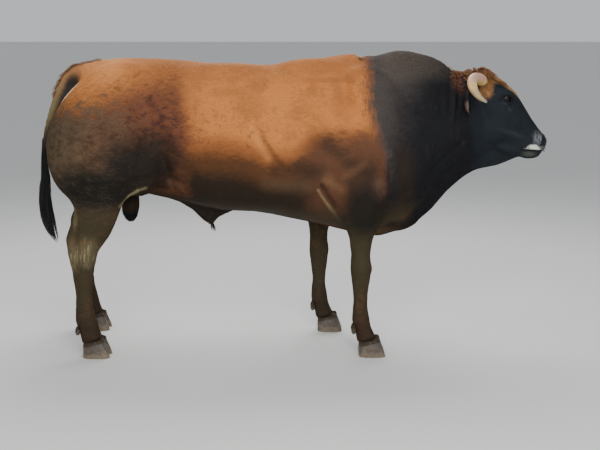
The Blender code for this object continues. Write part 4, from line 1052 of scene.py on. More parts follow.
class BullSkin(bpy.types.Operator):
    """Makes the skin of the whole body, with its folds and muscles, and unwraps it."""

    bl_idname = "bull.skin"
    bl_label = "Skin"

    def execute(self, context):
        settings = context.scene.bull_skin
        skin = joined_skin(settings)
        rows = points_of(skin.data)
        strip = 1 - smooth_rise(np.abs(rows[:, 0] - SEAM_X), 0.010, 0.035)
        softened(skin, 12, strip)
        fine = [(line, spread * 2 + 0.008) for line, spread, _ in BODY_FORMS if spread < 0.0125]
        split_near(skin, fine)
        fine = [(line, spread * 2) for line, spread, _ in FACE_FORMS if spread < 0.0072]
        split_near(skin, [*fine, ([EYE], 0.050), ([(1.245, 0.040, 1.050)], 0.048)])
        split_near(skin, [([EYE], 0.044)])
        mesh = skin.data
        pressed(mesh, (*BODY_FORMS, *FACE_FORMS))
        pressed(mesh, lid_forms())
        rows, normals = points_of(mesh), points_of(mesh, "normal")
        place_points(mesh, rows - normals * coat_thickness(rows, settings)[:, None])
        self.thin(skin, settings.triangles)
        skin.data.uv_layers.new(name="OFBake")
        context.view_layer.objects.active = skin
        skin.select_set(True)
        bpy.ops.object.mode_set(mode="EDIT")
        bpy.ops.mesh.select_all(action="SELECT")
        bpy.ops.uv.smart_project(angle_limit=math.radians(66), island_margin=0.001)
        bpy.ops.object.mode_set(mode="OBJECT")
        skin.select_set(False)
        dressed(skin, skin_finish(), "coat", *BODY_NODES, *EAR_NODES)
        return {"FINISHED"}

    def thin(self, skin, triangles):
        """Joins the skin's flattest faces until it has no more than the given triangles."""
        thin = skin.modifiers.new("Thin", "DECIMATE")
        thin.ratio = triangles / sum(len(face.vertices) - 2 for face in skin.data.polygons)
        thin.use_collapse_triangulate = True
        baked(skin)


class SkinMap:
    """The skin's triangles, for rooting hair on them: places, normals and the unwrap."""

    def __init__(self):
        mesh = bpy.data.objects["skin"].data
        mesh.calc_loop_triangles()
        total = len(mesh.loop_triangles)
        corners, loops = np.empty(total * 3, np.int32), np.empty(total * 3, np.int32)
        mesh.loop_triangles.foreach_get("vertices", corners)
        mesh.loop_triangles.foreach_get("loops", loops)
        unwrap = np.empty(len(mesh.loops) * 2)
        mesh.uv_layers["OFBake"].uv.foreach_get("vector", unwrap)
        rows, normals = points_of(mesh), points_of(mesh, "normal")
        self.places = rows[corners].reshape(-1, 3, 3)
        self.normals = normals[corners].reshape(-1, 3, 3)
        self.unwrap = unwrap.reshape(-1, 2)[loops].reshape(-1, 3, 2)
        self.middles = self.places.mean(1)
        sides = np.cross(
            self.places[:, 1] - self.places[:, 0], self.places[:, 2] - self.places[:, 0],
        )
        self.areas = np.linalg.norm(sides, axis=1) / 2
        self.tree = BVHTree.FromPolygons(rows.tolist(), corners.reshape(-1, 3).tolist())

    def roots(self, density, seed):
        """Points spread over the skin by a density for each triangle, with normals and unwrap."""
        rng = np.random.default_rng(seed)
        total = np.cumsum(self.areas * density)
        number = int(total[-1])
        picked = np.searchsorted(total, (np.arange(number) + rng.random(number)) * total[-1] / number)
        picked = np.minimum(picked, len(total) - 1)
        a, b = rng.random((2, number))
        over = a + b > 1
        a[over], b[over] = 1 - a[over], 1 - b[over]
        shares = np.stack([1 - a - b, a, b], 1)[:, :, None]
        normals = (self.normals[picked] * shares).sum(1)
        normals /= np.linalg.norm(normals, axis=1)[:, None]
        return (
            (self.places[picked] * shares).sum(1), normals, (self.unwrap[picked] * shares).sum(1),
        )

    def at(self, point):
        """The place on the skin nearest to a point, and the way out of the skin there."""
        place, normal = self.tree.find_nearest(Vector(point))[:2]
        return place, normal

    def root_unwrap(self, points):
        """The unwrap at the skin nearest to each point."""
        found = []
        for point in points:
            index = self.tree.find_nearest(Vector(point))[2]
            found.append(self.unwrap[index].mean(0))
        return np.array(found)

    def height(self, x, y, otherwise):
        """The height of the skin's top at a place on the floor."""
        hit = self.tree.ray_cast(Vector((x, y, 2.0)), Vector((0, 0, -1)))[0]
        return hit.z if hit else otherwise


# The coat

# How far the patch that each tuft and strand takes on the unwrap reaches from its middle.
UNWRAP_REACH = 0.0015
# How far the tufts stay below the top of the solids' box.
TOP_MARGIN = 0.0005


def lie_of_coat(rows, normals):
    """The way the hair lies at each point, along the skin."""
    x, z = rows[:, 0], rows[:, 2]
    side = np.abs(rows[:, 1])
    flow = np.tile(np.array([-1.0, 0.0, -0.32]), (len(rows), 1))

    def turn(way, share):
        """Turns part of the coat to another way."""
        flow[:] = flow * (1 - share[:, None]) + np.array(way) * share[:, None]

    turn((-0.35, 0, -1), smooth_rise(-x, 0.85, 1.05))
    turn((-0.75, 0, -0.65), smooth_rise(x, 0.38, 0.60))
    turn((-0.10, 0, -1), smooth_rise(-z, -0.86, -0.70) * (side > 0.11))
    turn((-0.25, 0, -1), (1 - smooth_rise(side, 0.045, 0.06)) * smooth_rise(-x, 1.03, 1.09))
    head = smooth_rise(x, 0.88, 0.95)
    turn((-0.55, 0, -0.85), head)
    turn((0.55, 0, -0.80), head * (1 - smooth_rise(side, 0.06, 0.10)) * smooth_rise(x, 0.93, 0.98))
    flow[:, 1] += np.sign(rows[:, 1]) * 0.25 * smooth_rise(normals[:, 2], 0.3, 0.9)
    flow -= normals * (flow * normals).sum(1)[:, None]
    return flow / np.linalg.norm(flow, axis=1)[:, None]


def bare(rows):
    """1 where no hair grows: the nose pad, the eyes and the soles."""
    x, z = rows[:, 0], rows[:, 2]
    side = np.abs(rows[:, 1])
    pad = wet_share(rows) > 0.4
    eye = np.linalg.norm(np.stack([x, side, z], 1) - np.array(EYE), axis=1) < 0.031
    mouth = (x > 1.14) & (np.abs(z - 1.003) < 0.008)
    return (pad | eye | mouth | (z < 0.075)).astype(float)


def tufts(name, roots, flow, sizes, seed):
    """Thin tufts, each a flat closed spike of four triangles, as one object.

    Sizes holds the length, width, thickness and lift of the tip for each tuft.
    """
    places, normals, unwrap = roots
    rng = np.random.default_rng(seed)
    long, wide, thick, lift = sizes
    turn = rng.normal(0, 0.16, len(places))
    across = np.cross(normals, flow)
    way = flow * np.cos(turn)[:, None] + across * np.sin(turn)[:, None]
    across = np.cross(normals, way)
    long = long * rng.uniform(0.75, 1.2, len(places))
    base = places - normals * 0.0012
    corners = np.stack([
        base + across * (wide / 2)[:, None],
        base - across * (wide / 2)[:, None],
        places + normals * thick[:, None] - way * (long * 0.05)[:, None],
        places + way * long[:, None] + normals * lift[:, None],
    ], 1)
    corners[:, :, 2] = np.minimum(corners[:, :, 2], CAD_BOX[1][2] - TOP_MARGIN)
    first = np.arange(len(places))[:, None, None] * 4
    faces = first + np.array([[0, 2, 3], [2, 1, 3], [1, 0, 3], [0, 1, 2]])
    mesh = triangle_mesh(name, corners.reshape(-1, 3), faces.reshape(-1, 3))
    spread = np.array([[-1, -1], [1, -1], [0, 0], [0, 1]]) * UNWRAP_REACH
    uv = unwrap[:, None, :] + spread
    loops = uv.reshape(-1, 2)[faces.reshape(-1)]
    mesh.uv_layers.new(name="OFBake").uv.foreach_set("vector", loops.astype(np.float32).ravel())
    mark(mesh, "shade", np.repeat(rng.random(len(places)), 4))
    mark(mesh, "along", np.tile([0.0, 0.0, 0.15, 1.0], len(places)))
    soft = np.stack([
        normals + across * 0.35, normals - across * 0.35, -normals - way * 0.3, normals - way * 0.8,
    ], 1)
    soft /= np.linalg.norm(soft, axis=2)[:, :, None]
    mesh.shade_smooth()
    mesh.normals_split_custom_set(np.repeat(soft.reshape(-1, 3), 3, axis=0).tolist())
    return new_object(name, mesh)


def mark(mesh, name, values):
    """Stores a number for each point of the mesh."""
    mesh.attributes.new(name, "FLOAT", "POINT").data.foreach_set(
        "value", np.asarray(values, np.float32),
    )


def coat_sizes(rows, settings):
    """Length, width, thickness and lift of the tufts at each root."""
    x, z = rows[:, 0], rows[:, 2]
    side = np.abs(rows[:, 1])
    face = smooth_rise(x, 0.90, 0.98)
    limb = smooth_rise(-z, -0.72, -0.60) * (x < 0.8)
    long = settings.tuft_length * (1 - 0.50 * face - 0.30 * limb)
    crest = smooth_rise(z, 1.36, 1.43) * smooth_rise(x, 0.42, 0.55) * (1 - smooth_rise(x, 0.80, 0.90))
    brow = smooth_rise(z, 1.30, 1.335) * smooth_rise(x, 0.90, 0.94) * (1 - smooth_rise(x, 1.02, 1.06))
    under = smooth_rise(-z, -0.74, -0.66) * (side < 0.10)
    long = long * (1 + 0.5 * crest + 1.6 * brow + 0.5 * under)
    wide = settings.tuft_width * (1 - 0.45 * face - 0.30 * limb)
    lift = long * (0.13 + 0.16 * crest + 0.30 * brow + 0.08 * under)
    return long, wide, wide * 0.20, lift


# The pieces of the coat: name, slot, seed and where each begins and ends along x.
COAT_PARTS = (
    ("coat_rear", "coat", 11, -9.0, -0.86),
    ("coat_thigh", "coat", 12, -0.86, -0.50),
    ("coat_flank", "coat", 13, -0.50, -0.14),
    ("coat_ribs", "coat", 14, -0.14, 0.22),
    ("coat_shoulder", "coat", 15, 0.22, 0.52),
    ("coat_neck", "dark_coat", 16, 0.52, 0.86),
    ("coat_head", "dark_coat", 17, 0.86, 9.0),
)


class BullCoat(bpy.types.Operator):
    """Makes the short coat as thin tufts that lie along the body."""

    bl_idname = "bull.coat"
    bl_label = "Short coat"

    def execute(self, context):
        settings = context.scene.bull_coat
        skin = SkinMap()
        material = tuft_finish()
        x = skin.middles[:, 0]
        density = settings.tufts * (1 + 1.2 * smooth_rise(x, 0.88, 0.96)) * (1 - bare(skin.middles))
        for name, slot, seed, start, end in COAT_PARTS:
            roots = skin.roots(density * (x >= start) * (x < end), seed)
            flow = lie_of_coat(roots[0], roots[1])
            piece = tufts(name, roots, flow, coat_sizes(roots[0], settings), seed)
            dressed(piece, material, slot, smooth=False)
        return {"FINISHED"}


# Long hair

# The turn in radians from one lock's root to the next that spreads the roots evenly.
GOLDEN_TURN = 2.39996
# How far the tail's hair stays inside the rear of the solids' box.
REAR_MARGIN = 0.0015


def strands(name, paths, widths, facing, skin, seed, flat=0.5):
    """Strands of hair, each a closed three-sided spike along its path, as one object."""
    number, steps = paths.shape[:2]
    rng = np.random.default_rng(seed)
    tangent = np.gradient(paths, axis=1)
    tangent /= np.linalg.norm(tangent, axis=2)[:, :, None] + 1e-12
    across = np.cross(tangent, facing[:, None, :])
    across /= np.linalg.norm(across, axis=2)[:, :, None] + 1e-12
    up = np.cross(across, tangent)
    t = np.linspace(0, 1, steps)
    half = widths[:, None, None] / 2 * (1 - 0.75 * t[None, :, None] ** 2)
    rings = np.stack([
        paths + across * half, paths + up * half * flat, paths - across * half,
    ], 2)[:, :-1]
    tips = paths[:, -1:]
    points = np.concatenate([rings.reshape(number, -1, 3), tips], 1)
    faces = [[0, 1, 2]]
    for k in range(steps - 2):
        for a in range(3):
            b = (a + 1) % 3
            low, high = 3 * k, 3 * k + 3
            faces += [[low + a, high + a, low + b], [low + b, high + a, high + b]]
    last = 3 * (steps - 2)
    faces += [[last + a, last + 3, last + (a + 1) % 3] for a in range(3)]
    faces = np.array(faces)
    each = points.shape[1]
    all_faces = (np.arange(number)[:, None, None] * each + faces).reshape(-1, 3)
    mesh = triangle_mesh(name, points.reshape(-1, 3), all_faces)
    unwrap = skin.root_unwrap(paths[:, 0])
    spread = np.stack([
        np.tile([-1, 0, 1], steps)[:each], np.linspace(-1, 1, each),
    ], 1) * UNWRAP_REACH
    loops = (unwrap[:, None, :] + spread).reshape(-1, 2)[all_faces.reshape(-1)]
    mesh.uv_layers.new(name="OFBake").uv.foreach_set("vector", loops.astype(np.float32).ravel())
    mark(mesh, "shade", np.repeat(rng.random(number), each))
    mark(mesh, "along", np.tile(np.append(np.repeat(t[:-1], 3), 1.0), number))
    return new_object(name, mesh)


def locks(guides, facing, per_lock, spread, wave, seed, turns=5.0):
    """Strands that follow each guide and close towards its tip: their paths and facing ways."""
    rng = np.random.default_rng(seed)
    number, steps = guides.shape[:2]
    t = np.linspace(0, 1, steps)
    owner = np.repeat(np.arange(number), per_lock)
    offset = rng.normal(0, 1, (len(owner), 3)) * spread
    facing = facing[owner]
    offset -= facing * (offset * facing).sum(1)[:, None] * 0.65
    short = rng.uniform(0.80, 1.0, len(owner))[:, None] * t[None, :]
    place = short * (steps - 1)
    low = np.minimum(place.astype(int), steps - 2)
    share = (place - low)[:, :, None]
    rows = np.arange(len(owner))[:, None]
    own = guides[owner]
    paths = own[rows, low] * (1 - share) + own[rows, low + 1] * share
    paths = paths + offset[:, None, :] * (1 - 0.85 * t[None, :, None] ** 1.5)
    swing = np.sin(rng.uniform(0, 6.3, len(owner))[:, None] + turns * t[None, :]) * wave
    side = rng.normal(0, 1, (len(owner), 3))
    side /= np.linalg.norm(side, axis=1)[:, None]
    return paths + side[:, None, :] * (swing * t[None, :])[:, :, None], facing


# The poll's whorl, how far the roots of its hair spread from it, and how high the hair stands.
POLL_WHORL, POLL_SPREAD, POLL_RISE = (0.918, 0), (0.048, 0.082), 0.040
# How many locks the nape and the forelock have.
NAPE_LOCKS, FORELOCK_LOCKS = 60, 150


class BullPollHair(bpy.types.Operator):
    """Makes the curly mop between the horns, the forelock and the short curls of the nape."""

    bl_idname = "bull.poll_hair"
    bl_label = "Poll hair"

    def execute(self, context):
        settings = context.scene.bull_hair
        skin = SkinMap()
        finish = hair_finish("bull_poll_hair", settings.poll, settings.poll_tip)
        rng = np.random.default_rng(21)
        guides, facing = [], []
        for i in range(settings.poll_locks):
            reach = math.sqrt((i + 0.5) / settings.poll_locks)
            turn = GOLDEN_TURN * i
            way = np.array((math.cos(turn) + 0.35, math.sin(turn)))
            way /= np.linalg.norm(way)
            root = np.array(POLL_WHORL) + np.array(POLL_SPREAD) * reach * (
                math.cos(turn), math.sin(turn),
            )
            long = settings.poll_length * rng.uniform(0.65, 1.15) * (0.85 + 0.35 * way[0])
            rise = POLL_RISE * (1 - 0.50 * reach) * rng.uniform(0.7, 1.15)
            guides.append(self.guide(skin, rng, root, way, long, rise, 0.7))
            facing.append((0.2 * way[0], 0.2 * way[1], 1))
        nape = []
        for _ in range(NAPE_LOCKS):
            root = np.array((rng.uniform(0.800, 0.875), rng.uniform(-0.085, 0.085)))
            way = np.array((-0.6, rng.normal(0, 0.7)))
            way /= np.linalg.norm(way)
            nape.append(self.guide(skin, rng, root, way, rng.uniform(0.022, 0.036), 0.016, 0.7))
        self.piece("poll_hair", guides, facing, 23, skin, finish, ("poll_tuft",))
        guides, facing = nape, [(-0.2, 0, 1)] * len(nape)
        for _ in range(FORELOCK_LOCKS):
            side = rng.choice((-1, 1))
            root = np.array((rng.uniform(0.945, 1.045), side * rng.uniform(0.0, 0.098)))
            way = np.array((1.0, 0.35 * side + rng.normal(0, 0.35)))
            way /= np.linalg.norm(way)
            long = rng.uniform(0.016, 0.034)
            guides.append(self.guide(skin, rng, root, way, long, long * 0.22, 0.35))
            facing.append((0.6, 0, 0.8))
        self.piece("forelock", guides, facing, 14, skin, finish, ())
        return {"FINISHED"}

    def guide(self, skin, rng, root, way, long, rise, loose, steps=8):
        """A lock's middle line over the head's top, which stands up from it and bends as it goes."""
        bend, curl = rng.normal(0, loose), rng.uniform(0, 6.3)
        path, height = [], 1.36
        for t in np.linspace(0, 1, steps):
            c, s = math.cos(bend * t), math.sin(bend * t)
            heading = np.array((way[0] * c - way[1] * s, way[0] * s + way[1] * c))
            spot = root + heading * long * t * 0.9
            spot[1] = np.clip(spot[1], -0.112, 0.112)
            height = skin.height(spot[0], spot[1], height - 0.008)
            lift = rise * math.sin(min(t * 2.2, 1.6)) * (1 - 0.55 * t * t) - 0.004 * (t == 0)
            wave = 0.10 * long * math.sin(curl + 9 * t) * t
            path.append((spot[0], spot[1] + wave, height + lift))
        return path

    def piece(self, name, guides, facing, per_lock, skin, finish, nodes):
        """One object of locks that follow the guides."""
        width = bpy.context.scene.bull_hair.strand
        paths, facing = locks(np.array(guides), np.array(facing), per_lock, 0.0056, 0.0026, 22, 9.0)
        widths = width * np.random.default_rng(23).uniform(0.8, 1.3, len(paths))
        dressed(strands(name, paths, widths, facing, skin, 24), finish, "red_hair", *nodes)


# The middle line of the tail's brush and its radius there.
SWITCH = (
    (-1.234, 0, 1.070, 0.013),
    (-1.237, 0, 0.975, 0.018),
    (-1.236, 0, 0.895, 0.021),
    (-1.239, 0, 0.825, 0.027),
    (-1.242, 0, 0.735, 0.034),
    (-1.233, 0, 0.650, 0.035),
    (-1.214, 0, 0.580, 0.028),
    (-1.190, 0, 0.520, 0.007),
)


# How many locks lie over the tail's root.
TAIL_HEAD_LOCKS = 150
# The top of the tail's root in the side view, over which loose hair lies.
TAIL_HEAD = ((-0.930, 1.470), (-1.050, 1.440), (-1.120, 1.385), (-1.180, 1.280))


def brush_point(rows, t):
    """A point and radius at a share t of the brush's middle line."""
    place = min(max(t, 0), 0.9999) * (len(rows) - 1)
    low = int(place)
    return rows[low] + (rows[low + 1] - rows[low]) * (place - low)


class BullTailHair(bpy.types.Operator):
    """Makes the tail's brush of long black locks and the loose hair over the tail's root."""

    bl_idname = "bull.tail_hair"
    bl_label = "Tail brush"

    def execute(self, context):
        settings = context.scene.bull_hair
        rng = np.random.default_rng(31)
        skin = SkinMap()
        rows = smooth_rows(SWITCH, 6)
        guides, facing = [], []
        for i in range(settings.switch_locks):
            turn = GOLDEN_TURN * i
            start = 0.02 + 0.55 * (i / settings.switch_locks)
            end = min(start + 0.34 + rng.uniform(-0.05, 0.25), 1.0)
            if i % 4 == 0:
                end = rng.uniform(0.88, 1.0)
            sway = rng.normal(0, 0.7)
            out = rng.uniform(0.35, 1.0)
            path = []
            for t in np.linspace(0, 1, 10):
                x, y, z, radius = brush_point(rows, start + (end - start) * t)
                angle = turn + sway * t
                away = radius * (0.35 + (out - 0.35) * math.sin(math.pi * min(t * 1.1, 0.62)))
                path.append((x + away * math.cos(angle), y + away * math.sin(angle), z))
            guides.append(path)
            facing.append((math.cos(turn), math.sin(turn), 0.0))
        paths, facing = locks(np.array(guides), np.array(facing), 16, 0.0036, 0.0030, 32)
        paths[:, :, 0] = np.maximum(paths[:, :, 0], CAD_BOX[0][0] + REAR_MARGIN)
        widths = settings.strand * np.random.default_rng(33).uniform(0.9, 1.7, len(paths))
        hair = strands("tail_hair", paths, widths, facing, skin, 34)
        dark = tuple(0.6 * c for c in settings.black)
        dressed(hair, hair_finish("bull_black_hair", dark, settings.black), "black_hair", "tail_switch")
        self.fringe(skin, rng)
        return {"FINISHED"}

    def fringe(self, skin, rng):
        """Loose red-brown hair over the tail's head."""
        guides, facing = [], []
        for i in range(TAIL_HEAD_LOCKS):
            s = (i + rng.random()) / TAIL_HEAD_LOCKS
            line = np.array(TAIL_HEAD)
            place = [np.interp(s * 3, range(4), line[:, 0]), rng.normal(0, 0.016),
                     np.interp(s * 3, range(4), line[:, 1])]
            root, out = skin.at(place)
            way = Vector((-0.8 + 0.5 * s, rng.normal(0, 0.2), -0.2 - 0.9 * s))
            way = (way - out * way.dot(out)).normalized()
            long, lift = rng.uniform(0.020, 0.036), rng.uniform(0.006, 0.013)
            guides.append([
                tuple(root + way * long * t + out * (lift * math.sin(1.9 * t) - 0.002 * (t == 0)))
                for t in np.linspace(0, 1, 6)
            ])
            facing.append(tuple(out))
        paths, facing = locks(np.array(guides), np.array(facing), 9, 0.0030, 0.0012, 35, 7.0)
        paths[:, :, 0] = np.maximum(paths[:, :, 0], CAD_BOX[0][0] + REAR_MARGIN)
        hair = strands("tail_fringe", paths, np.full(len(paths), 0.0011), facing, skin, 36)
        dressed(hair, bpy.data.materials["bull_poll_hair"], "red_hair")


# The tip of the sheath, where its hair hangs.
SHEATH_TIP = (-0.400, 0, 0.624)
# How many locks the sheath has, and how many lashes each eye.
SHEATH_LOCKS, LASHES = 12, 26
# How many short hairs fall over each claw and each dewclaw.
CORONET_HAIRS, DEWCLAW_HAIRS = 420, 110


class BullFringes(bpy.types.Operator):
    """Makes the sheath's hair, the ears' fringes, the lashes and the hair over the hooves."""

    bl_idname = "bull.fringes"
    bl_label = "Fringes"

    def execute(self, context):
        skin = SkinMap()
        black = bpy.data.materials["bull_black_hair"]
        self.sheath(skin, black)
        for word, side in SIDES:
            self.ear_fringe(skin, word, side)
            self.lashes(skin, word, side, black)
        self.coronets(skin)
        return {"FINISHED"}

    def sheath(self, skin, material):
        """The pencil of hair under the sheath."""
        rng = np.random.default_rng(41)
        guides, facing = [], []
        for i in range(SHEATH_LOCKS):
            turn = GOLDEN_TURN * i
            way = np.array((math.cos(turn), math.sin(turn), 0))
            long = 0.052 * rng.uniform(0.7, 1.1)
            path = [
                np.array(SHEATH_TIP) + way * (0.003 + 0.008 * math.sin(2.4 * t))
                + np.array((0.014 * t * t, 0, 0.006 - long * t)) for t in np.linspace(0, 1, 6)
            ]
            guides.append(path)
            facing.append(way)
        paths, facing = locks(np.array(guides), np.array(facing), 8, 0.0016, 0.001, 42)
        hair = strands("sheath_hair", paths, np.full(len(paths), 0.0014), facing, skin, 43)
        dressed(hair, material, "black_hair", "sheath_tuft")

    def ear_fringe(self, skin, word, side):
        """Fine dark hair on the rims and inside an ear, and a pale strip along its lower front."""
        coat = bpy.context.scene.bull_coat
        for name, number, pale in (("ear_hair", 1100, False), ("ear_down", 420, True)):
            rng = np.random.default_rng(50 + side + 5 * pale)
            root, tip, opening, across = ear_frame(side)
            edge = across if across.z < 0 else -across
            along = (tip - root).normalized()
            paths = []
            for _ in range(number):
                t = rng.uniform(0.40, 0.96) if pale else rng.uniform(0.10, 0.97)
                u = rng.uniform(0.45, 0.98) if pale else rng.choice((1, 1, -1, rng.uniform(-0.8, 0.8)))
                half = ear_half_width(t)
                cup = EAR_CUP * (1 - 0.55 * t) * (half / EAR_HALF_WIDTH)
                base = root.lerp(tip, t) - Vector((0, 0, EAR_DROOP * t * t))
                start = base + edge * half * u * 0.96 - opening * cup * (1 - u * u)
                if not pale and abs(start.x - 0.842) < 0.014 and t > 0.5 and start.z < 1.258:
                    continue
                way = along + edge * (0.5 * u) + opening * rng.uniform(0.1, 0.9)
                way = (way + Vector(rng.normal(0, 0.22, 3))).normalized()
                long = rng.uniform(0.007, 0.016) * (0.8 if pale else 1)
                paths.append([
                    tuple(start + way * long * q - Vector((0, 0, 0.35 * long * q * q))
                          - opening * 0.001 * (q == 0)) for q in np.linspace(0, 1, 5)
                ])
            facing = np.tile(np.array(opening), (len(paths), 1))
            hair = strands(
                f"{name}_{word}", np.array(paths), np.full(len(paths), 0.0009), facing, skin, 51,
            )
            title = f"bull_{name}"
            tones = (coat.blaze, coat.chin) if pale else (coat.neck_dark, coat.neck)
            material = bpy.data.materials.get(title) or hair_finish(title, *tones)
            dressed(hair, material, "dark_coat")

    def lashes(self, skin, word, side, material):
        """Lashes along the upper lid."""
        rng = np.random.default_rng(60)
        centre = Vector(EYE) if side > 0 else Vector(EYE) * MIRROR
        paths, facing = [], []
        for i in range(LASHES):
            u = -1 + 2 * i / (LASHES - 1)
            start = centre + Vector((
                0.019 * u, side * (0.0185 - 0.004 * u * u), 0.0095 - 0.007 * u * u - 0.008 * u,
            ))
            way = Vector((0.25 * u, side * 0.9, -0.35 + rng.normal(0, 0.05))).normalized()
            long = rng.uniform(0.010, 0.015)
            path = [
                tuple(start + way * long * s + Vector((0, 0, 0.25 * long * s * s)))
                for s in np.linspace(0, 1, 5)
            ]
            paths.append(path)
            facing.append((0, 0, 1))
        hair = strands(
            f"lashes_{word}", np.array(paths), np.full(len(paths), 0.0008),
            np.array(facing, float), skin, 61,
        )
        dressed(hair, material, "black_hair")

    def coronets(self, skin):
        """Short hair that falls from the skin over the top of each claw and dewclaw."""
        rng = np.random.default_rng(71)
        paths, facing = [], []
        for foot, side, x, y in FEET:
            middle = np.array((x, side * y, 0.09))
            for word, part in (("outer", 1), ("inner", -1)):
                low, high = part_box(f"dewclaw_{foot}_{word}")
                knob, size = np.array(low + high) / 2, np.array(high - low) / 2
                for _ in range(CORONET_HAIRS):
                    turn = rng.uniform(0, 2 * math.pi)
                    if math.sin(turn) < -0.6:
                        continue
                    start = claw_edge(turn, x, side, y, part, 0, 0.0)
                    start = np.array(skin.at(start + (0, 0, rng.uniform(0.002, 0.016)))[0])
                    reach = rng.uniform(0.10, 0.24)
                    path = [start] + [
                        claw_edge(turn, x, side, y, part, share * reach, grow)
                        for share, grow in ((0.10, 0.0012), (0.40, 0.0020), (0.75, 0.0018), (1, 0.0010))
                    ]
                    paths.append(path)
                    facing.append(path[2] - middle)
                for _ in range(DEWCLAW_HAIRS):
                    turn = rng.uniform(-0.5, 0.5) * math.pi
                    way = np.array((-math.cos(turn), math.sin(turn), 0))
                    over = knob + way * size * 1.02
                    above = knob + (0.010, 0, size[2] * rng.uniform(1.1, 1.9)) + way * size * 0.5
                    start = np.array(skin.at(above)[0])
                    end = over - (0, 0, size[2] * rng.uniform(0.0, 0.5))
                    bulge = way * 0.003 + (0, 0, 0.004)
                    paths.append([start + (end - start) * t + bulge * math.sin(math.pi * t)
                                  for t in np.linspace(0, 1, 5)])
                    facing.append(way)
        hair = strands(
            "hoof_hair", np.array(paths), np.full(len(paths), 0.0013), np.array(facing), skin, 72,
        )
        finish = hair_finish("bull_hoof_hair", paint(44, 36, 26), paint(84, 70, 50))
        dressed(hair, finish, "coat")


# Horns, eyes, ring and hooves

# The middle line of a horn and its radius there.
HORN = (
    (0.950, 0.070, 1.325, 0.0262),
    (0.918, 0.122, 1.352, 0.0272),
    (0.880, 0.176, 1.358, 0.0257),
    (0.862, 0.222, 1.338, 0.0232),
    (0.868, 0.254, 1.306, 0.0192),
    (0.890, 0.275, 1.276, 0.0137),
    (0.918, 0.288, 1.256, 0.0062),
)


def horn_finish(settings):
    """Weathered horn: pinkish on top, yellow-cream below, grey-brown and streaked to the tip."""
    f = Finish("bull_horn", Coat_Roughness=0.3, Coat_Weight=0.06)
    along = f.stored("along")
    grain = f.noise(1.0, 4, stretch=(340, 60, 200)) - 0.5
    cloud = f.noise(34.0, 4) - 0.5
    spots = f.noise(78.0, 4) - 0.5
    top = f.z + cloud * 0.07
    tint = f.mix(settings.cream, settings.bloom, f.rise(top, 1.330, 1.366))
    tint = f.mix(tint, paint(146, 124, 112), f.rise(cloud + grain * 0.7, 0.03, 0.24) * 0.62)
    tint = f.mix(tint, paint(112, 84, 58), f.rise(spots, 0.06, 0.24) * f.rise(along, 0.95, 0.30) * 0.7)
    tint = f.mix(tint, paint(226, 188, 116), f.rise(abs(top - 1.322), 0.020, 0.004) * 0.55)
    grey = f.rise(along + cloud * 0.45 + grain * 0.35, 0.52, 0.84)
    tint = f.mix(tint, paint(120, 110, 88), grey * 0.72)
    tint = f.mix(tint, paint(98, 76, 52), grey * f.rise(grain + spots * 0.5, 0.06, 0.22) * 0.6)
    tint = f.mix(tint, settings.tip, f.rise(along + cloud * 0.15, 0.90, 1.0))
    tint = f.shaded(tint, 0.94 + grain * 0.95 + cloud * 0.65)
    height = grain * 0.6 + f.noise(120.0, 3) * 0.5
    return f.finished(tint, 0.50 - f.rise(along, 0.7, 1.0) * 0.12, height, 0.0009, 0.7)


class BullHorns(bpy.types.Operator):
    """Makes the two horns with rings near the root and a blunt tip."""

    bl_idname = "bull.horns"
    bl_label = "Horns"

    def execute(self, context):
        material = horn_finish(context.scene.bull_horn)
        around = 36
        rows = smooth_rows(HORN, 14)
        extra = rows[-1].copy()
        heading = rows[-1, :3] - rows[-3, :3]
        heading /= np.linalg.norm(heading)
        cap = [(0.6, 0.86), (0.9, 0.62), (1.05, 0.30)]
        rows = np.array(list(rows) + [
            (*(extra[:3] + heading * extra[3] * out), extra[3] * share) for out, share in cap
        ])
        for word, side in SIDES:
            rings = []
            across = Vector((0, 1, 0.3))
            for i, row in enumerate(rows):
                here = Vector(row[:3])
                ahead = Vector(rows[min(i + 1, len(rows) - 1), :3] - rows[max(i - 1, 0), :3])
                ahead.normalize()
                across = (across - ahead * across.dot(ahead)).normalized()
                up = ahead.cross(across)
                t = i / (len(rows) - 1)
                rings_share = float(smooth_rise(-t, -0.50, -0.28))
                radius = row[3] * (1 + 0.030 * rings_share * math.sin(t * 120) - 0.004)
                ring = []
                for k in range(around):
                    turn = 2 * math.pi * k / around
                    wear = 1 + 0.016 * math.sin(3 * turn + 5 * t) + 0.008 * math.sin(7 * turn + 20 * t)
                    point = here + (across * math.cos(turn) + up * math.sin(turn)) * radius * wear
                    ring.append(point if side > 0 else point * MIRROR)
                rings.append(ring)
            horn = ring_loft(f"horn_shell_{word}", rings)
            mark(horn.data, "along", np.repeat(np.linspace(0, 1, len(rings)), around))
            dressed(horn, material, "horn", f"horn_{word}")
        return {"FINISHED"}


# How far an eye is turned forwards from straight out and how far its slit slants.
EYE_TURN, EYE_SLANT = 22, -24


def eye_frame(side):
    """Places a shape drawn along +Z on the eye, with +X along the slit between the lids."""
    x, y, z = EYE
    out = Matrix.Rotation(math.radians(-side * 90), 4, "X")
    turn = Matrix.Rotation(math.radians(-side * EYE_TURN), 4, "Z")
    slant = Matrix.Rotation(math.radians(-EYE_SLANT), 4, "Y")
    return Matrix.Translation((x, side * y, z)) @ turn @ slant @ out


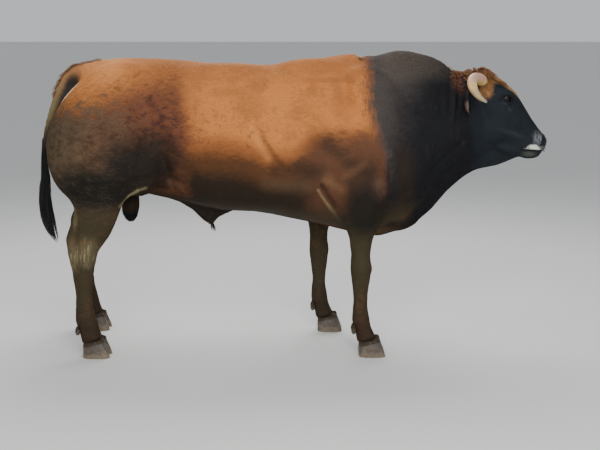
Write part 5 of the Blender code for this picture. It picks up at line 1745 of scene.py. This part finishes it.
def eye_finish(settings):
    """A wet, very dark eye with a level pupil, between black lids."""
    f = Finish("bull_eye", Coat_Weight=0.10, Coat_Roughness=0.06, Specular_IOR_Level=0.18)
    marks = {name: f.stored(name) for name in ("ring", "slit", "lid")}
    fibres = f.noise(260.0, 3)
    tint = f.mix(settings.iris, tuple(1.8 * c for c in settings.iris), fibres)
    tint = f.mix(tint, paint(6, 6, 7), f.rise(marks["slit"], 1.15, 0.85))
    tint = f.mix(tint, paint(9, 8, 8), f.rise(marks["ring"], 0.62, 0.74))
    tint = f.mix(tint, paint(58, 46, 40), f.rise(marks["ring"] + fibres * 0.05, 0.84, 0.96) * 0.6)
    lid = f.rise(marks["lid"], 0.92, 1.04)
    tint = f.mix(tint, paint(12, 12, 14), lid)
    height = f.noise(500.0, 2) * lid
    return f.finished(tint, 0.14 + lid * 0.46, height, 0.0006, 0.6)


class BullEyes(bpy.types.Operator):
    """Makes the two eyes with a slightly domed cornea."""

    bl_idname = "bull.eyes"
    bl_label = "Eyes"

    def execute(self, context):
        material = eye_finish(context.scene.bull_horn)
        for word, side in SIDES:
            bm = bmesh.new()
            bmesh.ops.create_uvsphere(bm, u_segments=72, v_segments=56, radius=EYE_RADIUS - 0.0004)
            rings, slits, lids = [], [], []
            for vert in bm.verts:
                out = vert.co.normalized()
                off = math.hypot(out.x, out.y)
                ring = off if out.z > 0 else 1.0
                slits.append(math.hypot(out.x / 0.46, out.y / 0.24) if out.z > 0 else 9.0)
                rings.append(ring)
                # The lids close on the ball to an almond, a little higher than the ball's surface.
                almond = 0.66 * max(1 - (out.x / 0.92) ** 2, 0) + 0.02
                lid = abs(0.04 - side * out.y) / almond if out.z > 0 else 9.0
                lids.append(min(lid, 9.0))
                if out.z > 0:
                    cornea = 0.0009 * (1 - float(smooth_rise(off, 0.30, 0.72)))
                    vert.co += out * (cornea + 0.0011 * float(smooth_rise(lid, 0.94, 1.14)))
            bm.transform(eye_frame(side))
            eye = from_bmesh(f"eyeball_{word}", bm)
            mark(eye.data, "ring", rings)
            mark(eye.data, "slit", slits)
            mark(eye.data, "lid", lids)
            dressed(eye, material, "eye", f"eye_{word}")
        return {"FINISHED"}


# The ring's middle, its radius, the radius of its wire and how far it leans, in degrees.
RING_CENTRE, RING_RADIUS, RING_WIRE, RING_LEAN = (1.2678, 0, 1.014), 0.032, 0.0035, -20


class BullNoseRing(bpy.types.Operator):
    """Makes the steel ring through the nose, with the two collars of its joints."""

    bl_idname = "bull.nose_ring"
    bl_label = "Nose ring"

    def execute(self, context):
        f = Finish("bull_steel", Metallic=1.0)
        steel = context.scene.bull_horn.steel
        wear = f.rise(f.noise(180.0, 4), 0.45, 0.70)
        tint = f.mix(steel, paint(120, 116, 110), wear * 0.6)
        material = f.finished(tint, 0.22 + wear * 0.25, f.noise(420.0, 2), 0.0002, 0.4)
        bm = bmesh.new()
        wire = bmesh.ops.create_circle(bm, cap_ends=False, segments=20, radius=RING_WIRE)["verts"]
        bmesh.ops.rotate(bm, verts=wire, cent=(0, 0, 0), matrix=Matrix.Rotation(math.pi / 2, 3, "X"))
        bmesh.ops.translate(bm, verts=wire, vec=(0, 0, -RING_RADIUS))
        edges = list({e for v in wire for e in v.link_edges})
        bmesh.ops.spin(
            bm, geom=[*wire, *edges], cent=(0, 0, 0), axis=(1, 0, 0), angle=2 * math.pi, steps=72,
            use_merge=True,
        )
        bmesh.ops.remove_doubles(bm, verts=bm.verts, dist=0.00001)
        for way in (-1, 1):
            made = bmesh.ops.create_cone(
                bm, cap_ends=True, segments=18, radius1=0.0052, radius2=0.0052, depth=0.0050,
            )["verts"]
            place = Matrix.Translation((0, way * RING_RADIUS, 0))
            bmesh.ops.transform(bm, verts=made, matrix=place)
            bmesh.ops.bevel(
                bm, geom=list({e for v in made for e in v.link_edges}), offset=0.0006, segments=2,
                profile=0.5, affect="EDGES", material=-1,
            )
        bm.transform(
            Matrix.Translation(RING_CENTRE) @ Matrix.Rotation(math.radians(RING_LEAN), 4, "Y")
        )
        bmesh.ops.recalc_face_normals(bm, faces=bm.faces)
        ring = from_bmesh("nose_ring_wire", bm)
        dressed(ring, material, "steel", "nose_ring")
        return {"FINISHED"}


# How high the top of a claw stands at the foot's middle, and how steeply it rises to the front.
CORONET_HEIGHT, CORONET_SLOPE = 0.078, 0.28
# How long and wide a claw is, and how far its inner side stays from the foot's middle.
CLAW_LENGTH, CLAW_WIDTH, CLEFT = 0.118, 0.057, 0.0035
# The claw from its coronet to its sole: share of the way down, heel, toe and width.
CLAW_LEVELS = (
    (0.00, -0.043, 0.052, CLAW_WIDTH - 0.008),
    (0.35, -0.046, 0.064, CLAW_WIDTH - 0.004),
    (0.80, -0.047, 0.080, CLAW_WIDTH - 0.001),
    (1.00, -0.045, CLAW_LENGTH - 0.033, CLAW_WIDTH),
)
# Each foot: its name, its side, the x of its middle and its distance from the middle plane.
FEET = (
    ("fore_right", -1, 0.3850, 0.220),
    ("fore_left", 1, 0.3850 - 0.197, 0.220),
    ("hind_right", -1, -0.9750, 0.240),
    ("hind_left", 1, -0.9750 - 0.090, 0.240),
)


def hoof_finish(settings):
    """Dark horn with growth rings, scuffed and dusty towards the sole."""
    f = Finish("bull_hoof", Coat_Weight=0.05, Coat_Roughness=0.4)
    rings = f.noise(1.0, 2, stretch=(12, 12, 420))
    dust = f.rise(f.noise(50.0, 4) + (0.05 - f.z) * 6, 0.48, 0.85)
    tint = f.mix(settings.hoof, tuple(2.0 * c for c in settings.hoof), rings * 0.5)
    tint = f.mix(tint, paint(128, 112, 90), dust * 0.6)
    height = rings * 0.7 + f.noise(200.0, 3) * 0.3
    return f.finished(tint, 0.42 + dust * 0.3, height, 0.0012, 0.7)


def claw_edge(turn, x, side, y, part, share, grow):
    """A place on a claw's side, grown outwards, at a turn and a share of the way down."""
    rows = np.array(CLAW_LEVELS)
    heel, toe, width = (np.interp(share, rows[:, 0], rows[:, k]) for k in (1, 2, 3))
    c, s = math.cos(turn), math.sin(turn)
    along = (toe + heel) / 2 + ((toe - heel) / 2 + grow) * math.copysign(abs(c) ** 0.85, c)
    out = CLEFT + width / 2 + (width / 2 + grow) * math.copysign(abs(s) ** 0.75, s)
    top = CORONET_HEIGHT + CORONET_SLOPE * along
    return np.array((x + along, side * (y + part * out), top * (1 - share)))


def claw(name, middle, y, side, part, around=44, levels=16):
    """One hoof claw with a rounded sole edge. Part is 1 for the outer claw, -1 for the inner."""
    rows = np.array(CLAW_LEVELS)
    rings = []
    for i in range(levels + 4):
        t = min(i / levels, 1.0)
        heel, toe, width = (np.interp(t, rows[:, 0], rows[:, k]) for k in (1, 2, 3))
        tuck = (0, 0.0012, 0.004, 0.010)[max(i - levels, 0)]
        half, centre = (toe - heel) / 2 - tuck, (toe + heel) / 2
        ripple = 0.0006 * math.sin(t * 34) * (1 - t)
        ring = []
        for k in range(around):
            turn = 2 * math.pi * k / around
            c, s = math.cos(turn), math.sin(turn)
            along = centre + (half + ripple) * math.copysign(abs(c) ** 0.85, c)
            out = CLEFT + width / 2 + (width / 2 - tuck - 0.0004) * math.copysign(abs(s) ** 0.75, s)
            out += 0.010 * float(smooth_rise(along, 0.02, 0.10)) * (out < width / 2)
            top = CORONET_HEIGHT + CORONET_SLOPE * along - 0.0003
            height = top * (1 - t) + (0.0015 if i == levels else 0) * (1 - tuck)
            ring.append(Vector((middle + along, side * (y + part * out), max(height, 0))))
        rings.append(ring)
    return ring_loft(name, rings)


class BullHooves(bpy.types.Operator):
    """Makes the eight claws and eight dewclaws."""

    bl_idname = "bull.hooves"
    bl_label = "Hooves"

    def execute(self, context):
        material = hoof_finish(context.scene.bull_horn)
        for foot, side, x, y in FEET:
            for word, part in (("outer", 1), ("inner", -1)):
                hoof = claw(f"hoof_{foot}_{word}", x, y, side, part)
                dressed(hoof, material, "hoof", f"claw_{foot}_{word}")
                node = f"dewclaw_{foot}_{word}"
                low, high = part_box(node)
                bm = bmesh.new()
                bmesh.ops.create_uvsphere(bm, u_segments=20, v_segments=14, radius=0.5)
                for vert in bm.verts:
                    vert.co.z = min(vert.co.z, 0.30) - 0.12 * (vert.co.z < -0.3)
                size = high - low
                bm.transform(
                    Matrix.Translation((low + high) / 2) @ Matrix.Diagonal((*size, 1))
                )
                dew = from_bmesh(f"dewclaw_horn_{foot}_{word}", bm)
                dressed(dew, material, "hoof", node)
        return {"FINISHED"}


class BullStage(bpy.types.Operator):
    """Makes the floor, the lights and the camera."""

    bl_idname = "bull.stage"
    bl_label = "Stage"

    def execute(self, context):
        s = context.scene.bull_stage
        bm = bmesh.new()
        bmesh.ops.create_grid(bm, x_segments=1, y_segments=1, size=400)
        floor = from_bmesh("floor", bm)
        f = Finish("floor", Roughness=0.8)
        tint = f.shaded((*s.floor, 1), 0.97 + f.noise(1.5, 3) * 0.06)
        floor.data.materials.append(f.finished(tint))
        self.light("side_light", (0.2, -4.4, 3.0), (0, 0, 1.0), 3.2, s.key)
        self.light("back_light", (-0.2, 2.2, 3.8), (0, 0, 1.2), 3.0, s.rim)
        world = bpy.data.worlds.new("studio")
        world.use_nodes = True
        background = world.node_tree.nodes["Background"]
        background.inputs["Color"].default_value = (0.84, 0.86, 0.90, 1)
        background.inputs["Strength"].default_value = 0.70
        context.scene.world = world
        lens = bpy.data.cameras.new("camera")
        lens.lens = s.lens
        lens.sensor_width = 36
        camera = new_object("camera", lens)
        camera.location = (s.camera_x, -s.camera_distance, s.camera_height)
        camera.rotation_euler = (math.pi / 2 - s.camera_dip, 0, 0)
        context.scene.camera = camera
        return {"FINISHED"}

    def light(self, name, place, aim, size, power):
        """A square soft light that points at a place."""
        lamp = bpy.data.lights.new(name, "AREA")
        lamp.size = size
        lamp.energy = power
        obj = new_object(name, lamp)
        obj.location = place
        obj.rotation_euler = (Vector(aim) - Vector(place)).to_track_quat("-Z", "Y").to_euler()


OPERATORS = (
    BullStage, BullSkin, BullCoat, BullPollHair, BullTailHair, BullFringes, BullHorns, BullEyes,
    BullNoseRing, BullHooves,
)


class BullPanel(bpy.types.Panel):
    """Lists the bull's pieces and their sizes."""

    bl_idname = "VIEW3D_PT_bull"
    bl_label = "Parthenaise bull"
    bl_space_type = "VIEW_3D"
    bl_region_type = "UI"
    bl_category = "Bull"

    def draw(self, context):
        for group, kind in GROUPS:
            box = self.layout.box()
            for name in kind.__annotations__:
                box.prop(getattr(context.scene, group), name)
        for operator in OPERATORS:
            self.layout.operator(operator.bl_idname)


def register():
    """Registers the settings, the operators and the panel."""
    for group, kind in GROUPS:
        bpy.utils.register_class(kind)
        setattr(bpy.types.Scene, group, bpy.props.PointerProperty(type=kind))
    for kind in (*OPERATORS, BullPanel):
        bpy.utils.register_class(kind)


def unregister():
    """Takes them away again."""
    for kind in (BullPanel, *reversed(OPERATORS)):
        bpy.utils.unregister_class(kind)
    for group, kind in reversed(GROUPS):
        delattr(bpy.types.Scene, group)
        bpy.utils.unregister_class(kind)


def main():
    """Builds the whole scene."""
    register()
    bpy.ops.bull.stage()
    bpy.ops.bull.skin()
    bpy.ops.bull.coat()
    bpy.ops.bull.poll_hair()
    bpy.ops.bull.tail_hair()
    bpy.ops.bull.fringes()
    bpy.ops.bull.horns()
    bpy.ops.bull.eyes()
    bpy.ops.bull.nose_ring()
    bpy.ops.bull.hooves()


if __name__ == "__main__":
    main()
